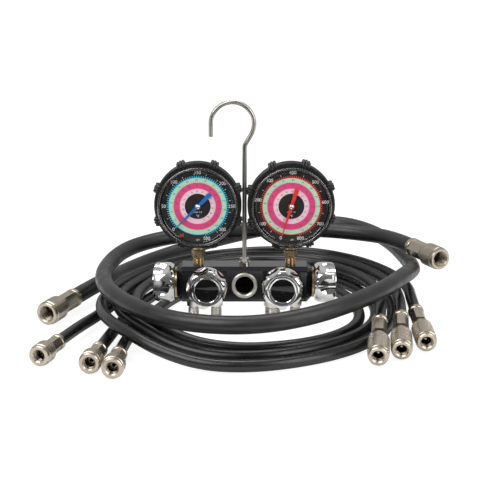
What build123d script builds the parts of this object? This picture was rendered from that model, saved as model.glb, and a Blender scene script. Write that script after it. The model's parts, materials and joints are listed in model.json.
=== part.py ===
from build123d import *
import os
from math import acos, asin, atan2, cos, degrees, hypot, pi, radians, sin, sqrt

os.makedirs("parts", exist_ok=True)

# Refrigerant manifold gauge. Millimetres, X to the right, -Y to the front, +Z up.
# The origin is the middle of the assembly's foot: the port ends stand on z = 0.

# ---------------------------------------------------------------- driving dimensions
# manifold block
BLOCK_LENGTH = 142.0
BLOCK_HEIGHT = 38.0
BLOCK_DEPTH = 34.0
BLOCK_BOTTOM = 23.0        # height of the block above the port ends
BLOCK_Y = 13.04             # middle plane of the block
EDGE_CHAMFER = 4.0         # long edges
END_CHAMFER = 5.6          # edges around each end face
PAD_HEIGHT = 2.0           # valve pads stand proud of the middle panel
PAD_INNER_X = 20.0         # inner side of each pad
GALLERY_DIAMETER = 6.0     # long bore from end to end
SEAT_BORE = 5.0            # from each valve to the gallery
PORT_DRILLING = 4.6        # from each port up to the gallery
GAUGE_DRILLING = 3.0

# valves
FRONT_VALVE_X = 39.0
FRONT_VALVE_Z = 43.5
SIDE_VALVE_Z = 41.0
FRONT_STANDOFF = 5.8       # block face to the knob's collar
SIDE_STANDOFF = 3.0
KNOB_DIAMETER = 42.6
KNOB_LENGTH = 22.2
KNOB_COLLAR_DIAMETER = 38.6
KNOB_CROWN = 4.0           # fall of the face from its ring to the rim
KNOB_RING = 1.5            # width of the raised ring round the badge
KNOB_CAVITY_DIAMETER = 26.0
KNOB_CAVITY_DEPTH = 9.0
FLUTE_COUNT = 6
FLUTE_RADIUS = 16.0
FLUTE_DEPTH = 4.2
FLUTE_END = 4.0            # collar to the flute's run-out
FLUTE_START = {"low_valve": 46.0, "high_valve": 60.0, "vacuum_valve": -4.0, "charge_valve": 0.0}
BADGE_DIAMETER = 24.4
BADGE_THICKNESS = 1.8
BADGE_DOME = 0.7
BONNET_FLANGE_DIAMETER = 32.0
BONNET_NECK_DIAMETER = 18.0
BONNET_THREAD_DIAMETER = 22.0
BONNET_DEPTH = 13.0        # threaded length inside the block
BONNET_FLANGE_GAP = 0.8    # flange to the knob's collar
BONNET_NECK_GAP = 1.5      # neck to the floor of the knob's cavity
SPINDLE_DIAMETER = 8.0
SPINDLE_SQUARE = 6.0
SPINDLE_COLLAR = 1.0       # thickness of the collar under the bonnet
SPINDLE_COLLAR_RIM = 1.2   # how far the collar stands out from the shaft
LIFT_SCREW_DIAMETER = 5.0
PISTON_DIAMETER = 13.0
PISTON_LENGTH = 8.0
PISTON_FLOOR = 1.2
PISTON_HEADROOM = 0.6      # left between the open piston and the spindle's collar
PISTON_TRAVEL = 3.0        # closed on its seat to fully open

# sight glass
SIGHT_Z = 42.0
SIGHT_RING_DIAMETER = 27.0
SIGHT_GLASS_DIAMETER = 19.6
SIGHT_RING_HEIGHT = 3.2
SIGHT_BORE_DEPTH = 8.0
SIGHT_GLASS_THICKNESS = 4.0
SIGHT_LEDGE = 2.0          # radial width of the ledge that carries the glass
SIGHT_SEAL_THICKNESS = 1.5

# gauges
CASE_DIAMETER = 80.0
CASE_SPACING = 17.0        # between the two cases, for their boots and the hook
CASE_STEM = 24.0           # block's top to the outside of each case
CASE_DEPTH = 30.0
CASE_BACK_Y = 27.04
CASE_WALL = 1.2
LENS_THICKNESS = 2.6
LENS_SKIRT = 6.0
DIAL_RIM = 2.0             # between the dial's edge and the outside of the case
DIAL_THICKNESS = 0.8
DIAL_SETBACK = 6.8         # lens front to dial face
POINTER_TIP = 32.0
POINTER_TAIL = 19.0
POINTER_SHAFT = 2.4
POINTER_LIFT = 1.6         # dial face to the back of the pointer
BOOT_WALL = 2.6
BOOT_STRAND_DIAMETER = 3.6
BOOT_KNOT_COUNT = 8
BOOT_KNOT_DIAMETER = 4.4
BOOT_KNOT_TURN = 22.5      # of the first knot from the right, in degrees
BOOT_KNOT_RIDGE = 3.4      # turn of each knot's two ridges from its middle
BOOT_BACK_OPENING = 56.0
BOOT_BACK_WALL = 4.0
SOCKET_HEX = 12.7
SOCKET_HEX_HEIGHT = 8.0
SOCKET_NECK_DIAMETER = 10.0
SOCKET_NECK_LENGTH = 8.0
SOCKET_BLOCK_WIDTH = 16.0
SOCKET_BLOCK_DEPTH = 10.0
SOCKET_BLOCK_HEIGHT = 18.0
SOCKET_BLOCK_BASE = 2.5    # above the outside of the case
BOURDON_RIM = 13.0         # between the tube's middle and the outside of the case
BOURDON_WIDTH = 9.0
BOURDON_THICKNESS = 3.0
BOURDON_TIP_ANGLE = 170.0
LEFT_ZERO_ANGLE = 225.0    # where each pointer rests on its dial
RIGHT_ZERO_ANGLE = 253.0
LEFT_BOOT_TURN = 0.0
RIGHT_BOOT_TURN = 3.0

# hook
HOOK_DIAMETER = 4.6
HOOK_BEND_Z = 187.0
HOOK_BEND_RADIUS = 10.0
HOOK_RADIUS = 22.3
HOOK_EYE_X = -12.5
HOOK_EYE_Z = 209.4
HOOK_TIP_Z = 196.0
HOOK_BUSHING_DIAMETER = 11.5
HOOK_BUSHING_HEIGHT = 3.0
HOOK_BUSHING_FLANGE = 1.5  # flange's rim beyond the screwed plug
HOOK_NUT_FLATS = 8.8
HOOK_NUT_HEIGHT = 3.2
HOOK_RING_HEIGHT = 1.6     # keeper ring on the rod's foot, under the plug
HOOK_SCREW_DEPTH = 9.0

# ports: thread diameters of 1/4 inch and 3/8 inch SAE flare fittings
SMALL_THREAD = 11.1
LARGE_THREAD = 15.9
PORT_OUTER_X = 54.0
PORT_INNER_X = 30.0
PORT_SHANK = 6.5           # screwed length inside the block
PORT_WALL = 3.1            # thread's radius to the port's bore
PORT_COLLAR = 1.6          # collar's rim beyond the thread
PORT_COLLAR_FOOT = 15.6    # open end to the underside of the collar
PORT_SEAT = 2.4            # height of the flare seat
PORT_THREAD_END = 13.0
PORT_RELIEF = 1.0          # groove between the thread and the collar

# hoses
THIN_HOSE = 12.0
THICK_HOSE = 18.0
NUT_BACK_WALL = 4.0
NUT_LIP = 1.2              # bright land behind the nut's taper
THREAD_RELIEF = 0.5        # nut's bore behind its thread, beyond the thread's radius
TAIL_STEP = 1.6            # thread's radius to the tail's radius
TAIL_BORE_STEP = 3.4       # thread's radius to the tail's bore
TAIL_FLANGE = 3.0
TAIL_CONE = 1.4            # flare seat in front of the flange
FERRULE_CRIMP = 6.0        # round crimped collar at the hose
DEPRESSOR_MOUTH = 9.0      # nut's face to the tip of the core depressor
DEPRESSOR_PIN = 1.0        # radius
DEPRESSOR_STEP = 1.3       # tail's radius to the rim of the depressor's foot
NUT_END_GAP = 0.6          # nut's back to the ferrule
SLEEVE_NECK = 8.0          # the same on a sleeve, where the bare tail shows
NECK_RING = (2.4, 5.6)     # ring on that bare tail, from the sleeve's back
NECK_RING_HEIGHT = 1.6
BEND_SHARE = 0.45          # share of the shorter run that each bend takes

# clearances
RUN_FIT = 0.08             # radial, for turning and sliding fits
LOOSE_FIT = 0.30           # between curved faces of different bodies
SEAT_GAP = 0.10            # along the axis of a turning joint

# ---------------------------------------------------------------- derived places
BLOCK_TOP = BLOCK_BOTTOM + BLOCK_HEIGHT
BLOCK_END = BLOCK_LENGTH / 2
GAUGE_X = (CASE_DIAMETER + CASE_SPACING) / 2
GAUGE_Z = BLOCK_TOP + CASE_STEM + CASE_DIAMETER / 2
DIAL_DIAMETER = CASE_DIAMETER - 2 * DIAL_RIM
BOURDON_RADIUS = CASE_DIAMETER / 2 - BOURDON_RIM
BLOCK_FRONT = BLOCK_Y - BLOCK_DEPTH / 2
PAD_FRONT = BLOCK_FRONT - PAD_HEIGHT
CASE_FRONT_Y = CASE_BACK_Y - CASE_DEPTH
LENS_FRONT_Y = CASE_FRONT_Y - LENS_THICKNESS
DIAL_FACE_Y = LENS_FRONT_Y + DIAL_SETBACK
SOCKET_FRONT_Y = BLOCK_Y - SOCKET_BLOCK_DEPTH / 2


def save(part, name):
    """Label one finished sub-part and write its STEP file."""
    part.part.label = name
    export_step(part.part, f"parts/{name}.step")


def profile_plane(seat):
    """Plane through the seat's axis: local x is the radius, local y runs along the axis."""
    return Plane(origin=seat.origin, x_dir=seat.x_dir, z_dir=seat.x_dir.cross(seat.z_dir))


def turned(seat, points, mode=Mode.ADD):
    """Revolve an outline of (radius, height) points about the seat's axis."""
    with BuildSketch(profile_plane(seat)) as outline:
        with BuildLine():
            Polyline(*points, close=True)
        make_face()
    revolve(outline.sketch, axis=Axis(seat.origin, seat.z_dir), mode=mode)


# ---------------------------------------------------------------- valve seats
VALVES = {
    "low_valve": (Plane((-FRONT_VALVE_X, PAD_FRONT, FRONT_VALVE_Z), (1, 0, 0), (0, -1, 0)), FRONT_STANDOFF),
    "high_valve": (Plane((FRONT_VALVE_X, PAD_FRONT, FRONT_VALVE_Z), (1, 0, 0), (0, -1, 0)), FRONT_STANDOFF),
    "vacuum_valve": (Plane((-BLOCK_END, BLOCK_Y, SIDE_VALVE_Z), (0, 1, 0), (-1, 0, 0)), SIDE_STANDOFF),
    "charge_valve": (Plane((BLOCK_END, BLOCK_Y, SIDE_VALVE_Z), (0, -1, 0), (1, 0, 0)), SIDE_STANDOFF),
}
BONNET_BORE = BONNET_THREAD_DIAMETER / 2
ROOM_TOP = PISTON_LENGTH + PISTON_TRAVEL + SPINDLE_COLLAR + PISTON_HEADROOM - BONNET_DEPTH

# ---------------------------------------------------------------- port places
SMALL_PORTS = (-PORT_OUTER_X, -PORT_INNER_X, PORT_OUTER_X)
LARGE_PORTS = (PORT_INNER_X,)


def block():
    """Chamfered bar with two valve pads, a bore for every fitting and the galleries that join them."""
    with BuildPart() as manifold_body:
        with BuildSketch(Plane.XY.offset(BLOCK_BOTTOM)):
            with Locations((0, BLOCK_Y)):
                Rectangle(BLOCK_LENGTH, BLOCK_DEPTH)
        extrude(amount=BLOCK_HEIGHT)
        chamfer(manifold_body.edges().filter_by(Axis.X), EDGE_CHAMFER)
        end_faces = manifold_body.faces().filter_by(Axis.X)
        chamfer(end_faces.edges(), END_CHAMFER)
        for side in (-1, 1):
            with BuildSketch(Plane.XZ.offset(-BLOCK_FRONT)):
                pad_length = BLOCK_LENGTH / 2 - END_CHAMFER - PAD_INNER_X
                with Locations((side * (PAD_INNER_X + pad_length / 2), BLOCK_BOTTOM + BLOCK_HEIGHT / 2)):
                    Rectangle(pad_length, BLOCK_HEIGHT - 2 * EDGE_CHAMFER)
            extrude(amount=PAD_HEIGHT, taper=20)
        for seat, _ in VALVES.values():
            with BuildSketch(seat):
                Circle(BONNET_BORE)
            extrude(amount=-BONNET_DEPTH, mode=Mode.SUBTRACT)
            with BuildSketch(seat):
                Circle(SEAT_BORE / 2)
            extrude(amount=-(BONNET_DEPTH + PISTON_TRAVEL + 2), mode=Mode.SUBTRACT)
        gallery_end = BLOCK_LENGTH / 2 - BONNET_DEPTH - 2
        with BuildSketch(Plane.YZ.offset(-gallery_end)):
            with Locations((BLOCK_Y, SIDE_VALVE_Z)):
                Circle(GALLERY_DIAMETER / 2)
        extrude(amount=2 * gallery_end, mode=Mode.SUBTRACT)
        with BuildSketch(Plane.XY.offset(BLOCK_BOTTOM)):
            with Locations([(x, BLOCK_Y) for x in SMALL_PORTS]):
                Circle(SMALL_THREAD / 2)
            with Locations([(x, BLOCK_Y) for x in LARGE_PORTS]):
                Circle(LARGE_THREAD / 2)
        extrude(amount=PORT_SHANK, mode=Mode.SUBTRACT)
        with BuildSketch(Plane.XY.offset(BLOCK_BOTTOM + PORT_SHANK)):
            with Locations([(x, BLOCK_Y) for x in SMALL_PORTS + LARGE_PORTS]):
                Circle(PORT_DRILLING / 2)
        extrude(amount=SIDE_VALVE_Z - BLOCK_BOTTOM - PORT_SHANK + 1, mode=Mode.SUBTRACT)
        with BuildSketch(Plane.XY.offset(BLOCK_TOP)):
            with Locations((-GAUGE_X, BLOCK_Y), (GAUGE_X, BLOCK_Y)):
                Circle(SOCKET_NECK_DIAMETER / 2)
        extrude(amount=-SOCKET_NECK_LENGTH, mode=Mode.SUBTRACT)
        with BuildSketch(Plane.XY.offset(BLOCK_TOP - SOCKET_NECK_LENGTH)):
            with Locations((-GAUGE_X, BLOCK_Y), (GAUGE_X, BLOCK_Y)):
                Circle(GAUGE_DRILLING / 2)
        extrude(amount=-(BLOCK_TOP - SOCKET_NECK_LENGTH - SIDE_VALVE_Z - 1), mode=Mode.SUBTRACT)
        with BuildSketch(Plane.XY.offset(BLOCK_TOP)):
            with Locations((0, BLOCK_Y)):
                Circle(HOOK_BUSHING_DIAMETER / 2 - 1.5)
        extrude(amount=-HOOK_SCREW_DEPTH, mode=Mode.SUBTRACT)
        with BuildSketch(Plane.XZ.offset(-BLOCK_FRONT)):
            with Locations((0, SIGHT_Z)):
                Circle(SIGHT_GLASS_DIAMETER / 2 + SIGHT_LEDGE)
        extrude(amount=-SIGHT_BORE_DEPTH, mode=Mode.SUBTRACT)
        with BuildSketch(Plane.XZ.offset(-BLOCK_FRONT - SIGHT_BORE_DEPTH)):
            with Locations((0, SIGHT_Z)):
                Circle(SIGHT_GLASS_DIAMETER / 2 - SIGHT_LEDGE)
        extrude(amount=-(BLOCK_Y - BLOCK_FRONT - SIGHT_BORE_DEPTH), mode=Mode.SUBTRACT)
    save(manifold_body, "manifold_body")


def sight_glass():
    """Threaded ring, glass disc and the O-ring behind it, in the middle of the front face."""
    seat = Plane((0, BLOCK_FRONT, SIGHT_Z), (1, 0, 0), (0, -1, 0))
    spigot = SIGHT_GLASS_DIAMETER / 2 + SIGHT_LEDGE
    glass_top = SIGHT_SEAL_THICKNESS + SIGHT_GLASS_THICKNESS - SIGHT_BORE_DEPTH
    window = SIGHT_GLASS_DIAMETER / 2
    with BuildPart() as ring:
        turned(seat, [(window, glass_top), (spigot, glass_top), (spigot, 0), (SIGHT_RING_DIAMETER / 2, 0),
                      (SIGHT_RING_DIAMETER / 2, SIGHT_RING_HEIGHT - 0.8),
                      (SIGHT_RING_DIAMETER / 2 - 0.8, SIGHT_RING_HEIGHT),
                      (window + 1.2, SIGHT_RING_HEIGHT), (window, SIGHT_RING_HEIGHT - 1.2)])
    save(ring, "sight_glass_ring")
    with BuildPart() as glass:
        glass_back = glass_top - SIGHT_GLASS_THICKNESS
        turned(seat, [(0, glass_back), (spigot - 0.2, glass_back),
                      (spigot - 0.2, glass_top), (0, glass_top)])
    save(glass, "sight_glass_lens")
    with BuildPart() as seal:
        turned(seat, [(window - 1.5, -SIGHT_BORE_DEPTH), (spigot - 0.2, -SIGHT_BORE_DEPTH),
                      (spigot - 0.2, SIGHT_SEAL_THICKNESS - SIGHT_BORE_DEPTH),
                      (window - 1.5, SIGHT_SEAL_THICKNESS - SIGHT_BORE_DEPTH)])
    save(seal, "sight_glass_seal")


def bonnet(name, seat, standoff):
    """Brass guide screwed into the block: flange, neck and the bores for the spindle and the piston."""
    spindle_bore = SPINDLE_DIAMETER / 2 + RUN_FIT
    piston_bore = PISTON_DIAMETER / 2 + RUN_FIT
    neck_top = standoff + KNOB_CAVITY_DEPTH - BONNET_NECK_GAP
    with BuildPart() as bonnet_part:
        turned(seat, [(piston_bore, -BONNET_DEPTH), (BONNET_BORE, -BONNET_DEPTH), (BONNET_BORE, 0),
                      (BONNET_FLANGE_DIAMETER / 2, 0),
                      (BONNET_FLANGE_DIAMETER / 2, standoff - BONNET_FLANGE_GAP),
                      (BONNET_NECK_DIAMETER / 2, standoff - BONNET_FLANGE_GAP),
                      (BONNET_NECK_DIAMETER / 2, neck_top), (spindle_bore, neck_top),
                      (spindle_bore, ROOM_TOP), (piston_bore, ROOM_TOP)])
    save(bonnet_part, f"{name}_bonnet")


def spindle(name, seat, standoff):
    """Turned spindle: lift screw in the piston, collar under the bonnet, shaft and square drive."""
    knob_floor = standoff + KNOB_CAVITY_DEPTH
    drive_top = standoff + KNOB_LENGTH - BADGE_THICKNESS - 2
    screw_bottom = SEAT_GAP + PISTON_FLOOR + PISTON_TRAVEL + LOOSE_FIT - BONNET_DEPTH
    with BuildPart() as spindle_part:
        turned(seat, [(0, screw_bottom), (LIFT_SCREW_DIAMETER / 2, screw_bottom),
                      (LIFT_SCREW_DIAMETER / 2, ROOM_TOP - SPINDLE_COLLAR),
                      (SPINDLE_DIAMETER / 2 + SPINDLE_COLLAR_RIM, ROOM_TOP - SPINDLE_COLLAR),
                      (SPINDLE_DIAMETER / 2 + SPINDLE_COLLAR_RIM, ROOM_TOP - SEAT_GAP),
                      (SPINDLE_DIAMETER / 2, ROOM_TOP - SEAT_GAP),
                      (SPINDLE_DIAMETER / 2, knob_floor), (0, knob_floor)])
        with BuildSketch(seat.offset(knob_floor)):
            Rectangle(SPINDLE_SQUARE, SPINDLE_SQUARE)
        extrude(amount=drive_top - knob_floor)
    save(spindle_part, f"{name}_spindle")


def piston(name, seat):
    """Sliding piston with a conical nose that closes the gallery."""
    bottom = -BONNET_DEPTH + SEAT_GAP
    top = bottom + PISTON_LENGTH
    outer = PISTON_DIAMETER / 2
    screw_bore = LIFT_SCREW_DIAMETER / 2 + RUN_FIT
    with BuildPart() as piston_part:
        turned(seat, [(0, bottom), (outer, bottom), (outer, top), (screw_bore, top),
                      (screw_bore, bottom + PISTON_FLOOR), (0, bottom + PISTON_FLOOR)])
    save(piston_part, f"{name}_piston")


def knob(name, seat, standoff):
    """Six-lobed hand knob, fluted from its face towards the collar, hollow over the bonnet's neck."""
    bottom = standoff
    top = standoff + KNOB_LENGTH
    rim = KNOB_DIAMETER / 2
    collar = KNOB_COLLAR_DIAMETER / 2
    cavity = KNOB_CAVITY_DIAMETER / 2
    badge = BADGE_DIAMETER / 2 + 0.1
    ring = badge + KNOB_RING
    floor = bottom + KNOB_CAVITY_DEPTH
    side_start = (rim - 0.6, bottom + 3.0)
    side_end = (rim - 0.5, top - KNOB_CROWN)
    ring_foot = (ring + 0.4, top - 1.0)
    with BuildPart() as knob_part:
        with BuildSketch(profile_plane(seat)):
            with BuildLine():
                Polyline(ring_foot, (ring, top), (badge + 0.5, top), (badge, top - 0.5),
                         (badge, top - BADGE_THICKNESS), (0, top - BADGE_THICKNESS), (0, floor),
                         (cavity, floor), (cavity, bottom), (collar, bottom), (collar, bottom + 1.2),
                         side_start)
                ThreePointArc(side_start, (rim, (bottom + top) / 2), side_end)
                ThreePointArc(side_end, (rim - 2.3, top - KNOB_CROWN / 2.4), ring_foot)
            make_face()
        revolve(axis=Axis(seat.origin, seat.z_dir))
        flute_centre = rim - FLUTE_DEPTH + FLUTE_RADIUS
        flute_start = bottom + FLUTE_END + sqrt(FLUTE_RADIUS ** 2 - (flute_centre - rim) ** 2)
        with BuildSketch(seat.offset(flute_start)):
            with PolarLocations(flute_centre, FLUTE_COUNT, start_angle=FLUTE_START[name]):
                Circle(FLUTE_RADIUS)
        extrude(amount=KNOB_LENGTH, mode=Mode.SUBTRACT)
        with Locations(seat.offset(flute_start)):
            with PolarLocations(flute_centre, FLUTE_COUNT, start_angle=FLUTE_START[name]):
                Sphere(FLUTE_RADIUS, mode=Mode.SUBTRACT)
        with BuildSketch(seat.offset(floor)):
            Rectangle(SPINDLE_SQUARE + 0.1, SPINDLE_SQUARE + 0.1)
        extrude(amount=KNOB_LENGTH, mode=Mode.SUBTRACT)
    save(knob_part, f"{name}_knob")


def badge(name, seat, standoff):
    """Plain domed disc pressed into the knob's face."""
    bottom = standoff + KNOB_LENGTH - BADGE_THICKNESS
    edge = BADGE_DIAMETER / 2
    dome_radius = (edge ** 2 + BADGE_DOME ** 2) / (2 * BADGE_DOME)
    crown = bottom + BADGE_THICKNESS
    quarter = (edge / 2, crown - dome_radius + sqrt(dome_radius ** 2 - (edge / 2) ** 2))
    with BuildPart() as badge_part:
        with BuildSketch(profile_plane(seat)):
            with BuildLine():
                Polyline((0, crown), (0, bottom), (edge, bottom), (edge, crown - BADGE_DOME))
                ThreePointArc((edge, crown - BADGE_DOME), quarter, (0, crown))
            make_face()
        revolve(axis=Axis(seat.origin, seat.z_dir))
    save(badge_part, f"{name}_badge")


def port_fitting(x, thread):
    """Male flare fitting: screwed shank, collar, thread land, and 45 degree flare seat round its bore."""
    seat = Plane((x, BLOCK_Y, 0), (1, 0, 0), (0, 0, 1))
    major = thread / 2
    bore = major - PORT_WALL
    collar = major + PORT_COLLAR
    groove = major - PORT_RELIEF
    shank_top = BLOCK_BOTTOM + PORT_SHANK
    turned(seat, [(bore, 0), (major - PORT_SEAT, 0), (major - 0.4, PORT_SEAT - 0.4),
                  (major - 0.4, PORT_SEAT + 1.2), (major, PORT_SEAT + 1.6), (major, PORT_THREAD_END),
                  (groove, PORT_THREAD_END + PORT_RELIEF), (groove, PORT_COLLAR_FOOT - 0.6),
                  (collar, PORT_COLLAR_FOOT), (collar, BLOCK_BOTTOM), (major, BLOCK_BOTTOM),
                  (major, shank_top), (bore, shank_top)])


def ports():
    """The four fittings in a row under the block."""
    with BuildPart() as fittings:
        for x in SMALL_PORTS:
            port_fitting(x, SMALL_THREAD)
        for x in LARGE_PORTS:
            port_fitting(x, LARGE_THREAD)
    save(fittings, "port_fittings")


def hook():
    """Bent wire hook that swivels in a flanged bushing on top of the block."""
    rod = HOOK_DIAMETER / 2
    flange = HOOK_BUSHING_DIAMETER / 2
    plug = flange - HOOK_BUSHING_FLANGE
    plug_end = 2.5 - HOOK_SCREW_DEPTH
    seat = Plane((0, BLOCK_Y, BLOCK_TOP), (1, 0, 0), (0, 0, 1))
    with BuildPart() as bushing:
        turned(seat, [(rod + RUN_FIT, plug_end), (plug, plug_end), (plug, 0), (flange, 0),
                      (flange, HOOK_BUSHING_HEIGHT - 0.6), (flange - 0.6, HOOK_BUSHING_HEIGHT),
                      (rod + RUN_FIT, HOOK_BUSHING_HEIGHT)])
    save(bushing, "hook_bushing")
    with BuildPart() as nut:
        with BuildSketch(seat.offset(HOOK_BUSHING_HEIGHT + SEAT_GAP)):
            RegularPolygon(HOOK_NUT_FLATS / 2, 6, major_radius=False)
            Circle(rod, mode=Mode.SUBTRACT)
        extrude(amount=HOOK_NUT_HEIGHT)
        with BuildSketch(seat.offset(plug_end - SEAT_GAP)):
            Circle(plug - LOOSE_FIT)
            Circle(rod, mode=Mode.SUBTRACT)
        extrude(amount=-HOOK_RING_HEIGHT)
    save(nut, "hook_collars")
    foot = BLOCK_TOP - HOOK_SCREW_DEPTH + 0.3
    to_eye = hypot(HOOK_EYE_X, HOOK_EYE_Z - HOOK_BEND_Z)
    slope = atan2(HOOK_EYE_Z - HOOK_BEND_Z, HOOK_EYE_X) - asin(HOOK_RADIUS / to_eye)
    slant = sqrt(to_eye ** 2 - HOOK_RADIUS ** 2)
    bow_start = (slant * cos(slope), HOOK_BEND_Z + slant * sin(slope))
    bow_end = (HOOK_EYE_X - HOOK_RADIUS, HOOK_EYE_Z)
    with BuildPart() as rod_part:
        with BuildLine(Plane((0, BLOCK_Y, 0), (1, 0, 0), (0, -1, 0))) as path:
            FilletPolyline((0, foot), (0, HOOK_BEND_Z), bow_start, radius=HOOK_BEND_RADIUS)
            ThreePointArc(bow_start, (HOOK_EYE_X, HOOK_EYE_Z + HOOK_RADIUS), bow_end)
            Line(bow_end, (bow_end[0], HOOK_TIP_Z))
        with BuildSketch(Plane((0, BLOCK_Y, foot), (1, 0, 0), (0, 0, 1))):
            Circle(rod)
        sweep(path=path.line, transition=Transition.ROUND)
    save(rod_part, "hook_rod")


# ---------------------------------------------------------------- gauges
def gauge_plane(x):
    """Dial axis: local z points to the front, local y up, local x to the right."""
    return Plane((x, 0, GAUGE_Z), (1, 0, 0), (0, -1, 0))


def case(name, x):
    """Drawn steel cup with a rolled front lip and a hole for the socket."""
    seat = gauge_plane(x)
    outer = CASE_DIAMETER / 2
    back, front = -CASE_BACK_Y, -CASE_FRONT_Y
    with BuildPart() as case_part:
        turned(seat, [(0, back), (outer - 2, back), (outer, back + 2), (outer, front),
                      (outer - CASE_WALL, front), (outer - CASE_WALL, back + 2.5),
                      (outer - 2.5, back + CASE_WALL), (0, back + CASE_WALL)])
        with BuildSketch(Plane.XY.offset(GAUGE_Z - outer - 1)):
            with Locations((x, BLOCK_Y)):
                Circle(SOCKET_NECK_DIAMETER / 2 + 1 + RUN_FIT)
        extrude(amount=6, mode=Mode.SUBTRACT)
    save(case_part, f"{name}_case")


def socket(name, x):
    """Brass socket: screwed neck in the block, wrench hexagon, and the block that carries the movement."""
    outer = CASE_DIAMETER / 2
    neck = SOCKET_NECK_DIAMETER / 2
    neck_end = BLOCK_TOP - SOCKET_NECK_LENGTH
    drilling = GAUGE_DRILLING / 2
    hex_bottom = BLOCK_TOP + SOCKET_NECK_LENGTH
    hex_top = hex_bottom + SOCKET_HEX_HEIGHT
    seat = Plane((x, BLOCK_Y, 0), (1, 0, 0), (0, 0, 1))
    with BuildPart() as socket_part:
        turned(seat, [(drilling, neck_end), (neck, neck_end), (neck, BLOCK_TOP + 2),
                      (neck - 0.6, BLOCK_TOP + 2.6), (neck - 0.6, hex_bottom), (drilling, hex_bottom)])
        with BuildSketch(Plane.XY.offset(hex_bottom)):
            with Locations((x, BLOCK_Y)):
                RegularPolygon(SOCKET_HEX / 2, 6, major_radius=False)
                Circle(GAUGE_DRILLING / 2, mode=Mode.SUBTRACT)
        extrude(amount=SOCKET_HEX_HEIGHT)
        chamfer(socket_part.edges().group_by(Axis.Z)[-1].filter_by(GeomType.LINE), 0.8)
        with BuildSketch(Plane.XY.offset(hex_top)):
            with Locations((x, BLOCK_Y)):
                Circle(neck + 1)
                Circle(GAUGE_DRILLING / 2, mode=Mode.SUBTRACT)
        extrude(amount=GAUGE_Z - outer + SOCKET_BLOCK_BASE - hex_top)
        with BuildSketch(Plane.XY.offset(GAUGE_Z - outer + SOCKET_BLOCK_BASE)):
            with Locations((x, BLOCK_Y)):
                Rectangle(SOCKET_BLOCK_WIDTH, SOCKET_BLOCK_DEPTH)
        extrude(amount=SOCKET_BLOCK_HEIGHT)
    save(socket_part, f"{name}_socket")


def bourdon_tube(name, x):
    """Flattened C-shaped pressure tube, rising from the socket's block and round to its free tip."""
    seat = gauge_plane(x)
    foot_angle = -degrees(acos((SOCKET_BLOCK_WIDTH / 2 + 0.6) / BOURDON_RADIUS))
    start = (BOURDON_RADIUS * cos(radians(foot_angle)), BOURDON_RADIUS * sin(radians(foot_angle)))
    heading = radians(foot_angle)
    outward = seat.x_dir * cos(heading) + seat.y_dir * sin(heading)
    foot = seat.from_local_coords(Vector(start[0], start[1], -BLOCK_Y))
    with BuildPart() as tube:
        with BuildLine(seat.offset(-BLOCK_Y)) as path:
            CenterArc((0, 0), BOURDON_RADIUS, foot_angle, BOURDON_TIP_ANGLE - foot_angle)
        with BuildSketch(Plane(foot, x_dir=outward, z_dir=outward.cross(seat.z_dir))):
            Rectangle(BOURDON_THICKNESS, BOURDON_WIDTH)
        sweep(path=path.line)
    save(tube, f"{name}_bourdon_tube")


def movement(name, x):
    """Movement on the socket's block: two plates on pillars, with the bushing of the pointer's shaft."""
    seat = gauge_plane(x)
    back = -SOCKET_FRONT_Y
    front = -DIAL_FACE_Y - DIAL_THICKNESS
    low = -(CASE_DIAMETER / 2 - SOCKET_BLOCK_BASE - SOCKET_BLOCK_HEIGHT)
    plate = 1.4
    with BuildPart() as movement_part:
        for height in (back, front - plate):
            with BuildSketch(seat.offset(height)):
                with Locations((0, (low - 4 + 9) / 2)):
                    RectangleRounded(18, 9 - low + 4, 4)
                Circle(POINTER_SHAFT / 2 + RUN_FIT, mode=Mode.SUBTRACT)
            extrude(amount=plate)
        with BuildSketch(seat.offset(back)):
            with Locations((-6, 5), (6, 5), (-6, low), (6, low)):
                Circle(1.5)
        extrude(amount=front - back)
    save(movement_part, f"{name}_movement")


def dial(name, x):
    """Plain dial plate with a centre hole, on the front plate of the movement."""
    seat = gauge_plane(x).offset(-DIAL_FACE_Y)
    with BuildPart() as dial_part:
        with BuildSketch(seat):
            Circle(DIAL_DIAMETER / 2)
            Circle(POINTER_SHAFT / 2 + 1.2, mode=Mode.SUBTRACT)
        extrude(amount=-DIAL_THICKNESS)
    save(dial_part, f"{name}_dial")


def pointer(name, x, zero_angle):
    """Balanced pointer with a long tapered tip and a broad tail, its hub and the shaft through the dial."""
    face = gauge_plane(x).offset(-DIAL_FACE_Y)
    zero = radians(zero_angle)
    seat = Plane(face.origin, x_dir=face.x_dir * cos(zero) + face.y_dir * sin(zero), z_dir=face.z_dir)
    shaft_back = DIAL_FACE_Y - SOCKET_FRONT_Y
    with BuildPart() as pointer_part:
        with BuildSketch(seat.offset(POINTER_LIFT)):
            with BuildLine():
                Polyline((POINTER_TIP, 0.35), (4.0, 1.6), (-4.0, 1.6), (-POINTER_TAIL + 0.8, 2.4),
                         (-POINTER_TAIL, 1.6), (-POINTER_TAIL, -1.6), (-POINTER_TAIL + 0.8, -2.4),
                         (-4.0, -1.6), (4.0, -1.6), (POINTER_TIP, -0.35), close=True)
            make_face()
        extrude(amount=0.5)
        with BuildSketch(seat.offset(POINTER_LIFT)):
            Circle(3.2)
        extrude(amount=1.0)
        with BuildSketch(seat.offset(POINTER_LIFT + 1.0)):
            Circle(1.9)
        extrude(amount=1.0)
        with BuildSketch(seat.offset(POINTER_LIFT)):
            Circle(POINTER_SHAFT / 2)
        extrude(amount=shaft_back - POINTER_LIFT)
    save(pointer_part, f"{name}_pointer")


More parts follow.
